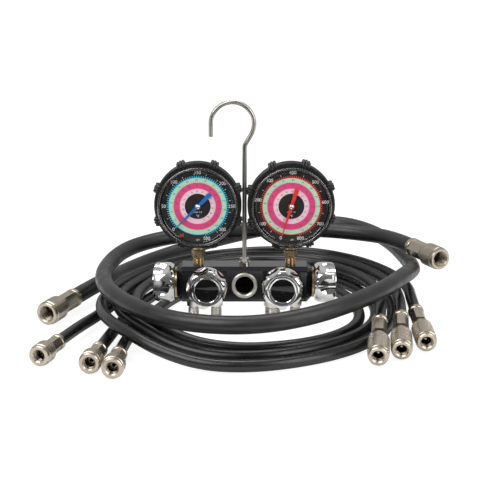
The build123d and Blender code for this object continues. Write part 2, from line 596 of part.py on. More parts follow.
def lens(name, x):
    """Clear cap: flat window with a rounded rim and a skirt over the case's lip."""
    seat = gauge_plane(x)
    outer = CASE_DIAMETER / 2 + 1.8
    inner = CASE_DIAMETER / 2 + 0.05
    front = -LENS_FRONT_Y
    mouth = -CASE_FRONT_Y
    with BuildPart() as lens_part:
        turned(seat, [(0, mouth), (inner, mouth), (inner, mouth - LENS_SKIRT), (outer, mouth - LENS_SKIRT),
                      (outer, front - 1.6), (outer - 0.5, front - 0.5), (outer - 1.6, front),
                      (outer - 4.6, front), (outer - 5.6, front - 0.8), (0, front - 0.8)])
    save(lens_part, f"{name}_lens")


def boot(name, x, turn):
    """Rubber boot: side wall with an open back, two cords round it, and knots that bind the cords."""
    seat = gauge_plane(x)
    inner = CASE_DIAMETER / 2 + 0.1
    wall = inner + BOOT_WALL
    back = -CASE_BACK_Y - BOOT_BACK_WALL
    front = -CASE_FRONT_Y - LENS_SKIRT - 0.4
    strand = BOOT_STRAND_DIAMETER / 2
    strand_radius = wall + strand * 0.55
    strands = (front - strand - 0.8, (front + back) / 2 + 2)
    knot_length = strands[0] - strands[1] + 2 * strand + 1.6
    with BuildPart() as boot_part:
        turned(seat, [(BOOT_BACK_OPENING / 2, back), (wall - 3, back), (wall, back + 3), (wall, front),
                      (inner, front), (inner, -CASE_BACK_Y + 2), (inner - 2, -CASE_BACK_Y - 0.1),
                      (BOOT_BACK_OPENING / 2, -CASE_BACK_Y - 0.1)])
        for height in strands:
            with BuildSketch(profile_plane(seat)):
                with Locations((strand_radius, height)):
                    RegularPolygon(strand, 8, major_radius=False, rotation=22.5)
            revolve(axis=Axis(seat.origin, seat.z_dir))
        with BuildSketch(seat.offset(strands[1] - strand - 0.8)):
            for ridge in (-BOOT_KNOT_RIDGE, BOOT_KNOT_RIDGE):
                first = BOOT_KNOT_TURN + turn + ridge
                with PolarLocations(strand_radius - 0.2, BOOT_KNOT_COUNT, start_angle=first):
                    RegularPolygon(BOOT_KNOT_DIAMETER / 2, 6, major_radius=False)
        extrude(amount=knot_length)
        with BuildSketch(Plane.XY.offset(GAUGE_Z - wall - 2 * strand - 2)):
            with Locations((x, BLOCK_Y)):
                Circle(SOCKET_HEX / 2 + 2.2)
        extrude(amount=BOOT_WALL + 2 * strand + 8, mode=Mode.SUBTRACT)
    save(boot_part, f"{name}_boot")


GAUGES = {
    "low_gauge": (-GAUGE_X, LEFT_ZERO_ANGLE, LEFT_BOOT_TURN),
    "high_gauge": (GAUGE_X, RIGHT_ZERO_ANGLE, RIGHT_BOOT_TURN),
}


# ---------------------------------------------------------------- hose ends
# Each end: middle of the nut's open face, heading of the hose seen from above (degrees from +Y
# towards +X), its rise (degrees), and the kind of fitting.
HOSE_ENDS = {
    "suction_left": ((-207.0, -12.8, 13.1), 22.0, 2.5, "thick"),
    "suction_right": ((216.0, 68.5, 52.0), -24.0, 1.5, "thick"),
    "outer_left": ((-194.4, -146.9, 11.1), 16.5, 1.0, "thin"),
    "outer_right": ((177.4, -104.3, 11.0), -1.0, 8.0, "sleeve"),
    "middle_left": ((-144.4, -168.6, 11.1), 6.5, -0.5, "thin"),
    "middle_right": ((149.7, -129.7, 11.0), 6.0, 9.5, "sleeve"),
    "inner_left": ((-121.7, -182.7, 11.1), 3.0, -0.5, "thin"),
    "inner_right": ((125.2, -148.4, 11.0), 7.0, 10.5, "sleeve"),
}
# nut: thread and outer diameters, nut length, total length to the hose, ferrule across flats,
# taper at the nut's back, crimped collar's diameter, and how far the thread runs in from the face
FITTINGS = {
    "thick": {"thread": LARGE_THREAD, "nut": 25.4, "nut_length": 30.0, "length": 60.0, "flats": 17.5,
              "taper": 5.0, "collar": 20.6, "thread_end": 15.0},
    "thin": {"thread": SMALL_THREAD, "nut": 21.4, "nut_length": 20.0, "length": 46.0, "flats": 13.5,
             "taper": 2.4, "collar": 16.0, "thread_end": 9.5},
    "sleeve": {"thread": SMALL_THREAD, "nut": 21.0, "nut_length": 38.0, "length": 76.0, "flats": 13.5,
               "taper": 4.0, "collar": 16.0, "thread_end": 8.5},
}


def end_plane(end):
    """Plane at the nut's open face, local z along the fitting towards the hose."""
    face, heading, rise, _ = HOSE_ENDS[end]
    level = cos(radians(rise))
    along = Vector(sin(radians(heading)) * level, cos(radians(heading)) * level, sin(radians(rise)))
    return Plane(face, x_dir=along.cross(Vector(0, 0, 1)), z_dir=along)


def nut(end):
    """Swivel nut with a tapped mouth and a back wall that turns on the hose's tail."""
    size = FITTINGS[HOSE_ENDS[end][3]]
    seat = end_plane(end)
    outer, length = size["nut"] / 2, size["nut_length"]
    mouth = size["thread"] / 2
    tail = mouth - TAIL_STEP
    back = outer - size["taper"] / 2
    room = mouth + THREAD_RELIEF
    wall = length - NUT_BACK_WALL
    with BuildPart() as nut_part:
        turned(seat, [(mouth + 1.0, 0), (outer - 1.6, 0), (outer - 0.8, 0.8), (outer - 0.8, 4.0),
                      (outer, 4.6), (outer, length - size["taper"] - NUT_LIP), (back, length - NUT_LIP),
                      (back, length), (tail + RUN_FIT, length), (tail + RUN_FIT, wall), (room, wall),
                      (room, size["thread_end"]), (mouth, size["thread_end"]), (mouth, 1.0)])
    save(nut_part, f"{end}_nut")


def hose_tail(end):
    """Flanged tail in the nut, its shoulder, and the crimped hexagonal ferrule up to the hose."""
    size = FITTINGS[HOSE_ENDS[end][3]]
    seat = end_plane(end)
    mouth = size["thread"] / 2
    tail = mouth - TAIL_STEP
    bore = mouth - TAIL_BORE_STEP
    nut_end, length = size["nut_length"], size["length"]
    flange_top = nut_end - NUT_BACK_WALL - SEAT_GAP
    nose = flange_top - TAIL_FLANGE - TAIL_CONE
    sleeved = HOSE_ENDS[end][3] == "sleeve"
    ferrule = nut_end + (SLEEVE_NECK if sleeved else NUT_END_GAP)
    collar = size["collar"] / 2
    turned(seat, [(bore, nose), (tail - 1.2, nose),
                  (mouth - LOOSE_FIT, flange_top - TAIL_FLANGE), (mouth - LOOSE_FIT, flange_top),
                  (tail, flange_top), (tail, ferrule), (bore, ferrule)])
    with BuildSketch(seat.offset(ferrule)) as hexagon:
        RegularPolygon(size["flats"] / 2, 6, major_radius=False)
        Circle(bore, mode=Mode.SUBTRACT)
    extrude(hexagon.sketch, amount=length - FERRULE_CRIMP - ferrule)
    crimp = length - FERRULE_CRIMP
    turned(seat, [(bore, crimp), (collar - 0.8, crimp), (collar, crimp + 0.8),
                  (collar, length - 1.0), (collar - 1.0, length), (bore, length)])
    if sleeved:
        neck = tail + NECK_RING_HEIGHT
        ring_start, ring_end = (nut_end + height for height in NECK_RING)
        turned(seat, [(bore, ring_start), (neck, ring_start), (neck, ring_end), (bore, ring_end)])


def core_depressor(end):
    """Foot and pin that a low-loss sleeve carries on its tail, to open the port's valve core."""
    size = FITTINGS[HOSE_ENDS[end][3]]
    foot = size["nut_length"] - NUT_BACK_WALL - SEAT_GAP - TAIL_FLANGE - TAIL_CONE
    rim = size["thread"] / 2 - TAIL_STEP - DEPRESSOR_STEP
    turned(end_plane(end), [(0, foot), (rim, foot), (rim, foot - 2), (DEPRESSOR_PIN, foot - 3),
                            (DEPRESSOR_PIN, DEPRESSOR_MOUTH), (0, DEPRESSOR_MOUTH)])


def tails(name):
    """Both tails of one hose, with the core depressor in each low-loss sleeve."""
    with BuildPart() as pair:
        for end in (f"{name}_left", f"{name}_right"):
            hose_tail(end)
            if HOSE_ENDS[end][3] == "sleeve":
                core_depressor(end)
    save(pair, f"{name}_hose_tails")


# ---------------------------------------------------------------- hoses
# Points of each hose between its two fittings, seen as it lies: left end, under the coil's left
# side, round the back, right side, front, left side again, back, and out to the right end.
SUCTION_ROUTE = [
    (-146, 163, 12), (-119, 215, 13), (-80, 254, 18), (-32, 280, 26), (20, 295, 35), (72, 301, 42),
    (120, 290, 46), (157, 258, 43), (180, 210, 37), (191, 158, 31), (191, 106, 33), (183, 58, 42),
    (168, 14, 47), (144, -38, 48), (110, -84, 47), (66, -120, 43), (15, -138, 39), (-38, -134, 38),
    (-84, -108, 38), (-119, -66, 40), (-143, -14, 40), (-154, 42, 40), (-152, 97, 41), (-138, 146, 45),
    (-106, 182, 48), (-60, 202, 51), (-6, 214, 53), (46, 218, 53), (97, 213, 53), (143, 193, 53),
]
OUTER_ROUTE = [
    (-158, -18, 9.5), (-147, 32, 6.3), (-133, 84, 6.2), (-108, 138, 6.2), (-72, 186, 6.2), (-24, 216, 6.2),
    (30, 226, 6.2), (84, 212, 6.2), (126, 174, 6.2), (152, 124, 6.2), (161, 68, 6.2), (159, 14, 6.2),
    (148, -36, 6.2), (128, -80, 6.2), (98, -116, 6.2), (58, -144, 6.2), (10, -162, 6.2), (-38, -161, 7),
    (-80, -144, 15), (-112, -116, 24.5), (-135, -78, 25.5), (-148, -32, 24), (-151, 16, 22), (-143, 66, 21),
    (-126, 114, 21), (-100, 160, 21), (-60, 202, 21), (-10, 230, 21), (42, 240, 21), (92, 228, 21),
    (134, 192, 21), (163, 142, 21), (177, 90, 22), (179, 42, 24.5),
]
MIDDLE_ROUTE = [
    (-131, -42, 7.5), (-124, 6, 6.3), (-112, 56, 6.2), (-94, 104, 6.2), (-66, 148, 6.2), (-26, 180, 6.2),
    (22, 192, 6.2), (70, 182, 6.2), (110, 150, 6.2), (134, 102, 6.2), (142, 50, 6.2), (140, 2, 6.2),
    (127, -42, 6.2), (101, -82, 6.2), (62, -114, 6.2), (18, -133, 6.2), (-30, -134, 6.5), (-71, -117, 12),
    (-102, -87, 21.5), (-123, -48, 22.5), (-134, -4, 22), (-133, 42, 21.2), (-120, 88, 21), (-101, 130, 21),
    (-70, 168, 21), (-30, 198, 21), (16, 213, 21), (62, 210, 21), (105, 190, 21), (138, 152, 21),
    (157, 104, 21.5), (164, 54, 23.5), (163, 14, 26.5),
]
INNER_ROUTE = [
    (-112, -58, 7.5), (-103, -12, 6.3), (-92, 34, 6.2), (-76, 80, 6.2), (-50, 120, 6.2), (-16, 148, 6.2),
    (26, 158, 6.2), (66, 148, 6.2), (98, 118, 6.2), (117, 76, 6.2), (123, 32, 6.2), (121, -12, 6.2),
    (106, -51, 6.2), (78, -82, 6.2), (40, -102, 6.2), (-4, -110, 6.2), (-48, -100, 9), (-82, -75, 16.5),
    (-105, -40, 21.5), (-116, 4, 21.5), (-114, 50, 21), (-102, 92, 21), (-84, 130, 21), (-54, 163, 21),
    (-14, 186, 21), (34, 194, 21), (80, 180, 21), (115, 146, 21), (137, 100, 21.5), (145, 50, 23),
    (144.5, -1, 27.5),
]
# first and last straight runs, in line with the fittings
HOSES = {
    "suction": (SUCTION_ROUTE, THICK_HOSE, 50.0, 42.0),
    "outer": (OUTER_ROUTE, THIN_HOSE, 42.0, 30.0),
    "middle": (MIDDLE_ROUTE, THIN_HOSE, 36.0, 30.0),
    "inner": (INNER_ROUTE, THIN_HOSE, 36.0, 30.0),
}


def hose(name):
    """Hose laid as straight runs joined by tangent arcs, from the back of one ferrule to the other."""
    route, diameter, first_run, last_run = HOSES[name]
    start, finish = (end_plane(f"{name}_{side}") for side in ("left", "right"))
    start_length = FITTINGS[HOSE_ENDS[f"{name}_left"][3]]["length"]
    finish_length = FITTINGS[HOSE_ENDS[f"{name}_right"][3]]["length"]
    points = [start.origin + start.z_dir * reach for reach in (start_length, start_length + first_run)]
    points += [Vector(*point) for point in route]
    points += [finish.origin + finish.z_dir * reach for reach in (finish_length + last_run, finish_length)]
    runs = [after - before for before, after in zip(points, points[1:])]
    radii = []
    for before, after in zip(runs, runs[1:]):
        turn = radians(before.get_angle(after))
        radii.append(BEND_SHARE * min(before.length, after.length) * (1 + cos(turn)) / sin(turn))
    with BuildPart() as hose_part:
        with BuildLine() as path:
            FilletPolyline(*points, radius=radii)
        with BuildSketch(Plane(points[0], z_dir=runs[0])):
            Circle(diameter / 2)
        sweep(path=path.line)
    length = path.wires()[0].length
    ratio = hose_part.part.volume / (length * pi * diameter ** 2 / 4)
    print(f"{name} hose: {length:.0f} mm long, tightest bend {min(radii):.0f} mm, volume ratio {ratio:.4f}")
    save(hose_part, f"{name}_hose")


block()
sight_glass()
for valve_name, (valve_seat, valve_standoff) in VALVES.items():
    bonnet(valve_name, valve_seat, valve_standoff)
    spindle(valve_name, valve_seat, valve_standoff)
    piston(valve_name, valve_seat)
    knob(valve_name, valve_seat, valve_standoff)
    badge(valve_name, valve_seat, valve_standoff)
ports()
hook()
for gauge_name, (gauge_x, zero, boot_turn) in GAUGES.items():
    case(gauge_name, gauge_x)
    socket(gauge_name, gauge_x)
    bourdon_tube(gauge_name, gauge_x)
    movement(gauge_name, gauge_x)
    dial(gauge_name, gauge_x)
    pointer(gauge_name, gauge_x, zero)
    lens(gauge_name, gauge_x)
    boot(gauge_name, gauge_x, boot_turn)
for end_name in HOSE_ENDS:
    nut(end_name)
for hose_name in HOSES:
    tails(hose_name)
    hose(hose_name)
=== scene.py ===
# %% [markdown]
# # Dressing a refrigerant manifold gauge
# The frame holds every machined piece at its real size. This notebook gives those pieces their
# finishes and adds what a maker would print, knurl, thread or knot on them afterwards.

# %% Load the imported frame
import json
from math import cos, pi, radians, sin

import bmesh
import bpy
from mathutils import Matrix, Vector


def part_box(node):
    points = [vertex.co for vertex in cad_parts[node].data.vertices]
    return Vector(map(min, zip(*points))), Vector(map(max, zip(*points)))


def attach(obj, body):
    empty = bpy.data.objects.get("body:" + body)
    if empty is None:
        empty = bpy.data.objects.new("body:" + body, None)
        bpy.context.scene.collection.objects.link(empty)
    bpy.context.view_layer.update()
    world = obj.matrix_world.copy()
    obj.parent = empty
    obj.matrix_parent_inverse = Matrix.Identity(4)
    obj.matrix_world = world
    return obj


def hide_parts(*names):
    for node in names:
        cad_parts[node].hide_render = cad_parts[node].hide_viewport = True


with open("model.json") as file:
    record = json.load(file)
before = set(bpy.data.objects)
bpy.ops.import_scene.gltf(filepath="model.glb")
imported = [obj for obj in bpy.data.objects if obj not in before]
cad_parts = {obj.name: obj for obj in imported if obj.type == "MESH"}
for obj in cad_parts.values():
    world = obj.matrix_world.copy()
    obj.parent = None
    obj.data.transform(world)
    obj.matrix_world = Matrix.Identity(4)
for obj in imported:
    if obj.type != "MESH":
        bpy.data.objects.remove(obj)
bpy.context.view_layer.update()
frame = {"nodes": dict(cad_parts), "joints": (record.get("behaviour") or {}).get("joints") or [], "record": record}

MM = 0.001
nodes = frame["nodes"]
scene = bpy.context.scene

# %% [markdown]
# ## The camera
# A product picture is taken a little from above with a long lens, so that the gauges stay round.
# The camera comes first because the loose hoses are judged by what it can see.

# %% The camera
IMAGE_SIDE = 480
FOCAL_PIXELS = 1254.0
CAMERA_PITCH = radians(13.0)
CAMERA_DISTANCE = 1320 * MM
LOOK_AT = Vector((-4.7, 14.5, 86.2)) * MM


def add_camera():
    lens = bpy.data.cameras.new("product_camera")
    lens.sensor_width = 36.0
    lens.lens = lens.sensor_width * FOCAL_PIXELS / IMAGE_SIDE
    camera = bpy.data.objects.new("product_camera", lens)
    scene.collection.objects.link(camera)
    forward = Vector((0, cos(CAMERA_PITCH), -sin(CAMERA_PITCH)))
    camera.location = LOOK_AT - forward * CAMERA_DISTANCE
    camera.rotation_euler = forward.to_track_quat("-Z", "Y").to_euler()
    scene.camera = camera
    print("lens", round(lens.lens, 1), "mm")


add_camera()

# %% [markdown]
# ## Building finishes
# Every finish here is one Principled shader with a few procedural nodes in front of it. Three small
# helpers keep each recipe short: noise in the object's own coordinates, a ramp, and a bump.


# %% Helpers for finishes
class Finish:
    """A material with its shader and shortcuts for the nodes that feed it."""

    def __init__(self, name, colour, metallic=0.0, roughness=0.5, **sockets):
        self.material = bpy.data.materials.new(name)
        self.material.use_nodes = True
        self.tree = self.material.node_tree
        self.shader = self.tree.nodes["Principled BSDF"]
        self.shader.inputs["Base Color"].default_value = (*colour, 1)
        self.shader.inputs["Metallic"].default_value = metallic
        self.shader.inputs["Roughness"].default_value = roughness
        for label, value in sockets.items():
            self.shader.inputs[label.replace("_", " ")].default_value = value

    def add(self, kind, **settings):
        node = self.tree.nodes.new(kind)
        for key, value in settings.items():
            setattr(node, key, value)
        return node

    def link(self, source, target):
        self.tree.links.new(source, target)
        return self

    def place(self):
        return self.add("ShaderNodeTexCoord").outputs["Object"]

    def noise(self, scale, detail=3.0, stretch=(1, 1, 1)):
        mapping = self.add("ShaderNodeMapping")
        mapping.inputs["Scale"].default_value = stretch
        self.link(self.place(), mapping.inputs["Vector"])
        noise = self.add("ShaderNodeTexNoise")
        noise.inputs["Scale"].default_value = scale
        noise.inputs["Detail"].default_value = detail
        self.link(mapping.outputs["Vector"], noise.inputs["Vector"])
        return noise.outputs["Fac"]

    def ramp(self, value, low, high, start=0.35, end=0.65):
        """Colours or plain numbers from low to high as value goes from start to end."""
        ramp = self.add("ShaderNodeValToRGB")
        for stop, position, level in zip(ramp.color_ramp.elements, (start, end), (low, high)):
            stop.position = position
            stop.color = (*level, 1) if hasattr(level, "__len__") else (level, level, level, 1)
        self.link(value, ramp.inputs["Fac"])
        return ramp.outputs["Color"]

    def tint(self, colour):
        return self.link(colour, self.shader.inputs["Base Color"])

    def gloss(self, level):
        return self.link(level, self.shader.inputs["Roughness"])

    def bump(self, height, depth, strength=1.0):
        bump = self.add("ShaderNodeBump")
        bump.inputs["Distance"].default_value = depth
        bump.inputs["Strength"].default_value = strength
        self.link(height, bump.inputs["Height"])
        return self.link(bump.outputs["Normal"], self.shader.inputs["Normal"])


# %% [markdown]
# ## Metals
# Polished chrome is a mirror with faint smears. Nickel on the hose fittings is warmer and a little
# satin, brass is yellower still, and the hook is drawn wire, whose scratches run along its length.


# %% Metals
def chrome():
    finish = Finish("polished_chrome", (0.86, 0.86, 0.85), metallic=1.0, roughness=0.06)
    finish.gloss(finish.ramp(finish.noise(55), 0.035, 0.13))
    return finish.bump(finish.noise(240, 2), 0.00002, 0.25).material


def nickel(name, colour, low, high):
    finish = Finish(name, colour, metallic=1.0, roughness=0.2)
    shade = tuple(0.9 * channel for channel in colour)
    finish.tint(finish.ramp(finish.noise(45), shade, colour, 0.2, 0.8))
    finish.gloss(finish.ramp(finish.noise(60), low, high, 0.2, 0.8))
    return finish.bump(finish.noise(700, 2), 0.00001, 0.2).material


def drawn_wire():
    finish = Finish("drawn_steel_wire", (0.5, 0.48, 0.44), metallic=1.0, roughness=0.3)
    finish.tint(finish.ramp(finish.noise(60, 4, (1, 1, 0.15)), (0.36, 0.34, 0.3), (0.6, 0.58, 0.53)))
    finish.gloss(finish.ramp(finish.noise(300, 2, (1, 1, 0.08)), 0.22, 0.42))
    return finish.bump(finish.noise(800, 2, (1, 1, 0.05)), 0.00003, 0.4).material


FINISHES = {
    "chrome": chrome(),
    "nickel": nickel("bright_nickel", (0.78, 0.75, 0.69), 0.1, 0.2),
    "champagne_nickel": nickel("champagne_nickel", (0.5, 0.44, 0.36), 0.24, 0.34),
    # the knurl's darker tone is painted shade between its ridges; its higher roughness is the knurl's own
    "knurled_nickel": nickel("knurled_nickel", (0.46, 0.4, 0.33), 0.34, 0.46),
    "cream_nickel": nickel("cream_nickel", (0.8, 0.78, 0.7), 0.3, 0.4),
    "brass": nickel("turned_brass", (0.5, 0.39, 0.24), 0.2, 0.32),
    "bright_brass": nickel("bright_brass", (0.78, 0.5, 0.27), 0.12, 0.2),
    "steel_wire": drawn_wire(),
}

# %% [markdown]
# ## Dark finishes
# Black anodising stays slightly metallic and shows fine machining. The gauge cup is painted, and the
# boots, seals and hoses are rubber: a black with a broad soft sheen and dusty lighter patches.


# %% Dark finishes
def anodised():
    finish = Finish("black_anodised", (0.02, 0.02, 0.022), metallic=0.35, roughness=0.32,
                    Specular_IOR_Level=0.8)
    finish.tint(finish.ramp(finish.noise(35), (0.008, 0.008, 0.010), (0.017, 0.017, 0.021)))
    finish.gloss(finish.ramp(finish.noise(120, 3, (0.1, 1, 1)), 0.12, 0.2))
    return finish.bump(finish.noise(700, 2, (0.04, 1, 1)), 0.00003, 0.3).material


def rubber(name, dark, light, low, high, grain):
    finish = Finish(name, light, roughness=high)
    finish.tint(finish.ramp(finish.noise(40, 4), dark, light))
    finish.gloss(finish.ramp(finish.noise(70, 4), low, high))
    return finish.bump(finish.noise(grain, 3), 0.00006, 0.35).material


def gloss_paint(name, colour, roughness):
    finish = Finish(name, colour, roughness=roughness)
    shade = tuple(0.82 * channel for channel in colour)
    finish.tint(finish.ramp(finish.noise(160), shade, colour))
    return finish.bump(finish.noise(600, 2), 0.00002, 0.2).material


FINISHES.update({
    "black_anodised": anodised(),
    "seal_rubber": rubber("seal_rubber", (0.012,) * 3, (0.025,) * 3, 0.5, 0.7, 900),
    "boot_rubber": rubber("boot_rubber", (0.006,) * 3, (0.016,) * 3, 0.26, 0.42, 700),
    # the thin hoses' rubber is the hose rubber made darker: painted shade
    "shaded_small_hose_rubber": rubber("shaded_small_hose_rubber", (0.003,) * 3, (0.007,) * 3, 0.26, 0.38, 420),
    "hose_rubber": rubber("hose_rubber", (0.006,) * 3, (0.014,) * 3, 0.34, 0.46, 420),
    "black_steel": gloss_paint("black_gauge_paint", (0.02, 0.02, 0.02), 0.25),
    "badge_black": gloss_paint("black_badge", (0.008, 0.008, 0.009), 0.06),
    "dial": gloss_paint("dial_black_print", (0.010, 0.007, 0.005), 0.5),
    "pointer_blue": gloss_paint("blue_pointer_paint", (0.004, 0.14, 0.5), 0.4),
    "pointer_red": gloss_paint("red_pointer_paint", (0.82, 0.02, 0.015), 0.4),
})

# %% [markdown]
# ## Clear pieces
# A gauge's window is clear plastic a couple of millimetres thick, too thin to bend what is behind it. So
# it is see-through, and its outer face mirrors the room more and more towards the rim.


# %% Clear pieces
def clear(name, colour, roughness, ior=1.45):
    """See-through in a colour, with a mirror that grows with the slope on the outer side only."""
    finish = Finish(name, (1, 1, 1), metallic=1.0, roughness=roughness)
    behind = finish.add("ShaderNodeBsdfTransparent")
    behind.inputs["Color"].default_value = (*colour, 1)
    slope = finish.add("ShaderNodeFresnel")
    slope.inputs["IOR"].default_value = ior
    inner_side = finish.add("ShaderNodeNewGeometry").outputs["Backfacing"]
    outer_only = finish.add("ShaderNodeMix")
    finish.link(inner_side, outer_only.inputs["Factor"])
    finish.link(slope.outputs["Fac"], outer_only.inputs[2])
    outer_only.inputs[3].default_value = 0.0
    mix = finish.add("ShaderNodeMixShader")
    finish.link(outer_only.outputs[0], mix.inputs[0])
    finish.link(behind.outputs["BSDF"], mix.inputs[1])
    finish.link(finish.shader.outputs["BSDF"], mix.inputs[2])
    output = finish.tree.nodes["Material Output"]
    finish.link(mix.outputs["Shader"], output.inputs["Surface"])
    return finish.material


FINISHES["clear_lens"] = clear("clear_lens", (0.98, 0.98, 0.98), 0.02)
FINISHES["lens_edge"] = clear("lens_edge", (0.6, 0.6, 0.6), 0.22, 2.2)
FINISHES["sight_glass"] = clear("dark_sight_glass", (0.3, 0.3, 0.32), 0.03)

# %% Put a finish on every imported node
slot_of = {row["node"]: row["material_slot"] for row in frame["record"]["subparts"]}
special = {"sight_glass_ring": "cream_nickel"}
for name, node in nodes.items():
    node.data.materials.clear()
    node.data.materials.append(FINISHES[special.get(name, slot_of[name])])
print("finished", len(slot_of), "nodes with", len(FINISHES), "finishes")

# %% [markdown]
# ## Mesh tools
# A new piece ends as a plain mesh at the origin, with its place in its vertices. `settle` does that for
# any object: it applies modifiers, moves the vertices to their place and clears the rest.


# %% Mesh tools
ON_AXIS = 1e-7      # a smaller radius than this is a point on the axis


def settle(piece, place=Matrix.Identity(4)):
    """Make a piece a plain mesh whose place is in its vertices."""
    evaluated = piece.evaluated_get(bpy.context.evaluated_depsgraph_get())
    mesh = bpy.data.meshes.new_from_object(evaluated)
    mesh.transform(place)
    mesh.name = piece.name
    done = bpy.data.objects.new(piece.name, mesh)
    name = piece.name
    bpy.data.objects.remove(piece)
    done.name = name
    scene.collection.objects.link(done)
    return done


def new_piece(name, mesh_tool, finishes=()):
    """An object from a bmesh, with its finishes."""
    mesh = bpy.data.meshes.new(name)
    bmesh.ops.recalc_face_normals(mesh_tool, faces=mesh_tool.faces)
    mesh_tool.to_mesh(mesh)
    mesh_tool.free()
    for finish in finishes:
        mesh.materials.append(finish)
    piece = bpy.data.objects.new(name, mesh)
    scene.collection.objects.link(piece)
    return piece


def hand_over(piece, body):
    """A finished piece joins the body that carries it."""
    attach(piece, body)
    return piece


def lathe(tool, outline, segments, slot=0, smooth=True):
    """Turn (radius, height) points about Z into a closed skin in the bmesh."""
    turns = [2 * pi * k / segments for k in range(segments)]
    rings = []
    for radius, height in outline:
        if radius < ON_AXIS:
            rings.append([tool.verts.new((0, 0, height))])
            continue
        rings.append([tool.verts.new((radius * cos(turn), radius * sin(turn), height)) for turn in turns])
    for lower, upper in zip(rings, rings[1:] + rings[:1]):
        if len(lower) == 1 and len(upper) == 1:
            continue
        for k in range(segments):
            corners = [lower[k % len(lower)], lower[(k + 1) % len(lower)],
                       upper[(k + 1) % len(upper)], upper[k % len(upper)]]
            face = tool.faces.new(list(dict.fromkeys(corners)))
            face.material_index = slot
            face.smooth = smooth


def bent_bar(reach, half_width, half_height, sides):
    """Outline for lathe, in mm, of an oval bar bent into a ring of radius reach."""
    return [((reach + half_width * cos(turn)) * MM, half_height * sin(turn) * MM)
            for turn in (2 * pi * k / sides for k in range(sides))]


# %% [markdown]
# ## One tree for everything that repeats round an axis
# Dial marks, knurls and knots are all one small shape copied round a circle, sometimes in rows. The
# modifier's own mesh is that shape, drawn with X outwards and Z along the axis.


# %% Geometry Nodes: repeat round an axis
def math_node(tree, operation, first, second=None):
    node = tree.nodes.new("ShaderNodeMath")
    node.operation = operation
    for socket, value in zip(node.inputs, (first, second)):
        if value is None:
            continue
        if isinstance(value, (int, float)):
            socket.default_value = value
        else:
            tree.links.new(value, socket)
    return node.outputs[0]


def start_tree(name, inputs):
    """An empty tree with named inputs; returns it with its input and output nodes."""
    tree = bpy.data.node_groups.new(name, "GeometryNodeTree")
    tree.interface.new_socket("Geometry", in_out="INPUT", socket_type="NodeSocketGeometry")
    for label, kind in inputs:
        tree.interface.new_socket(label, in_out="INPUT", socket_type=kind)
    tree.interface.new_socket("Geometry", in_out="OUTPUT", socket_type="NodeSocketGeometry")
    return tree, tree.nodes.new("NodeGroupInput").outputs, tree.nodes.new("NodeGroupOutput").inputs


def finish_tree(tree, geometry, material, output):
    realize = tree.nodes.new("GeometryNodeRealizeInstances")
    painted = tree.nodes.new("GeometryNodeSetMaterial")
    tree.links.new(geometry, realize.inputs["Geometry"])
    tree.links.new(realize.outputs["Geometry"], painted.inputs["Geometry"])
    tree.links.new(material, painted.inputs["Material"])
    tree.links.new(painted.outputs["Geometry"], output["Geometry"])
    return tree


def repeat_tree():
    tree, given, result = start_tree("repeat_round_axis", (
        ("Around", "NodeSocketInt"), ("Rows", "NodeSocketInt"), ("Radius", "NodeSocketFloat"),
        ("Start", "NodeSocketFloat"), ("Step", "NodeSocketFloat"), ("Row Pitch", "NodeSocketFloat"),
        ("Row Turn", "NodeSocketFloat"), ("Material", "NodeSocketMaterial")))
    index = tree.nodes.new("GeometryNodeInputIndex").outputs[0]
    row = math_node(tree, "FLOOR", math_node(tree, "DIVIDE", index, given["Around"]))
    column = math_node(tree, "MODULO", index, given["Around"])
    turn = math_node(tree, "ADD", given["Start"], math_node(tree, "MULTIPLY", column, given["Step"]))
    turn = math_node(tree, "ADD", turn, math_node(tree, "MULTIPLY", row, given["Row Turn"]))
    place = tree.nodes.new("ShaderNodeCombineXYZ")
    across = math_node(tree, "MULTIPLY", given["Radius"], math_node(tree, "COSINE", turn))
    upwards = math_node(tree, "MULTIPLY", given["Radius"], math_node(tree, "SINE", turn))
    outwards = math_node(tree, "MULTIPLY", row, given["Row Pitch"])
    for socket, value in zip(place.inputs, (across, upwards, outwards)):
        tree.links.new(value, socket)
    points = tree.nodes.new("GeometryNodePoints")
    tree.links.new(math_node(tree, "MULTIPLY", given["Around"], given["Rows"]), points.inputs["Count"])
    tree.links.new(place.outputs[0], points.inputs["Position"])
    turned = tree.nodes.new("ShaderNodeCombineXYZ")
    tree.links.new(turn, turned.inputs[2])
    copies = tree.nodes.new("GeometryNodeInstanceOnPoints")
    tree.links.new(points.outputs[0], copies.inputs["Points"])
    tree.links.new(given["Geometry"], copies.inputs["Instance"])
    tree.links.new(turned.outputs[0], copies.inputs["Rotation"])
    return finish_tree(tree, copies.outputs["Instances"], given["Material"], result)


REPEAT = repeat_tree()


def run_tree(piece, tree, values, place=Matrix.Identity(4)):
    """Run a tree on a piece with inputs given by name, then settle it as a plain mesh."""
    modifier = piece.modifiers.new(tree.name, "NODES")
    modifier.node_group = tree
    for item in tree.interface.items_tree:
        if item.in_out == "INPUT" and item.name in values:
            modifier[item.identifier] = values[item.name]
    return settle(piece, place)


def repeat(piece, finish, around, radius, start=0.0, step=None, rows=1, pitch=0.0, row_turn=0.0,
           place=Matrix.Identity(4)):
    """Copies of a piece round Z, a full ring unless a step is given, in rows along Z."""
    step = 2 * pi / around if step is None else step
    return run_tree(piece, REPEAT, {
        "Around": around, "Rows": rows, "Radius": radius, "Start": start, "Step": step,
        "Row Pitch": pitch, "Row Turn": row_turn, "Material": finish}, place)


# %% [markdown]
# ## Threads
# A thread is a small ridge wound along a helix. The Spiral curve makes the helix, and Curve to Mesh
# sweeps a small square along it. The frame's plain cylinder is the thread's outer or inner size.


# %% Geometry Nodes: a thread
TURN_SEGMENTS = 28          # steps of the helix in one turn
RIDGE_SIDES = 4
RIDGE_SHARE = 0.42          # ridge's half width as a share of the pitch


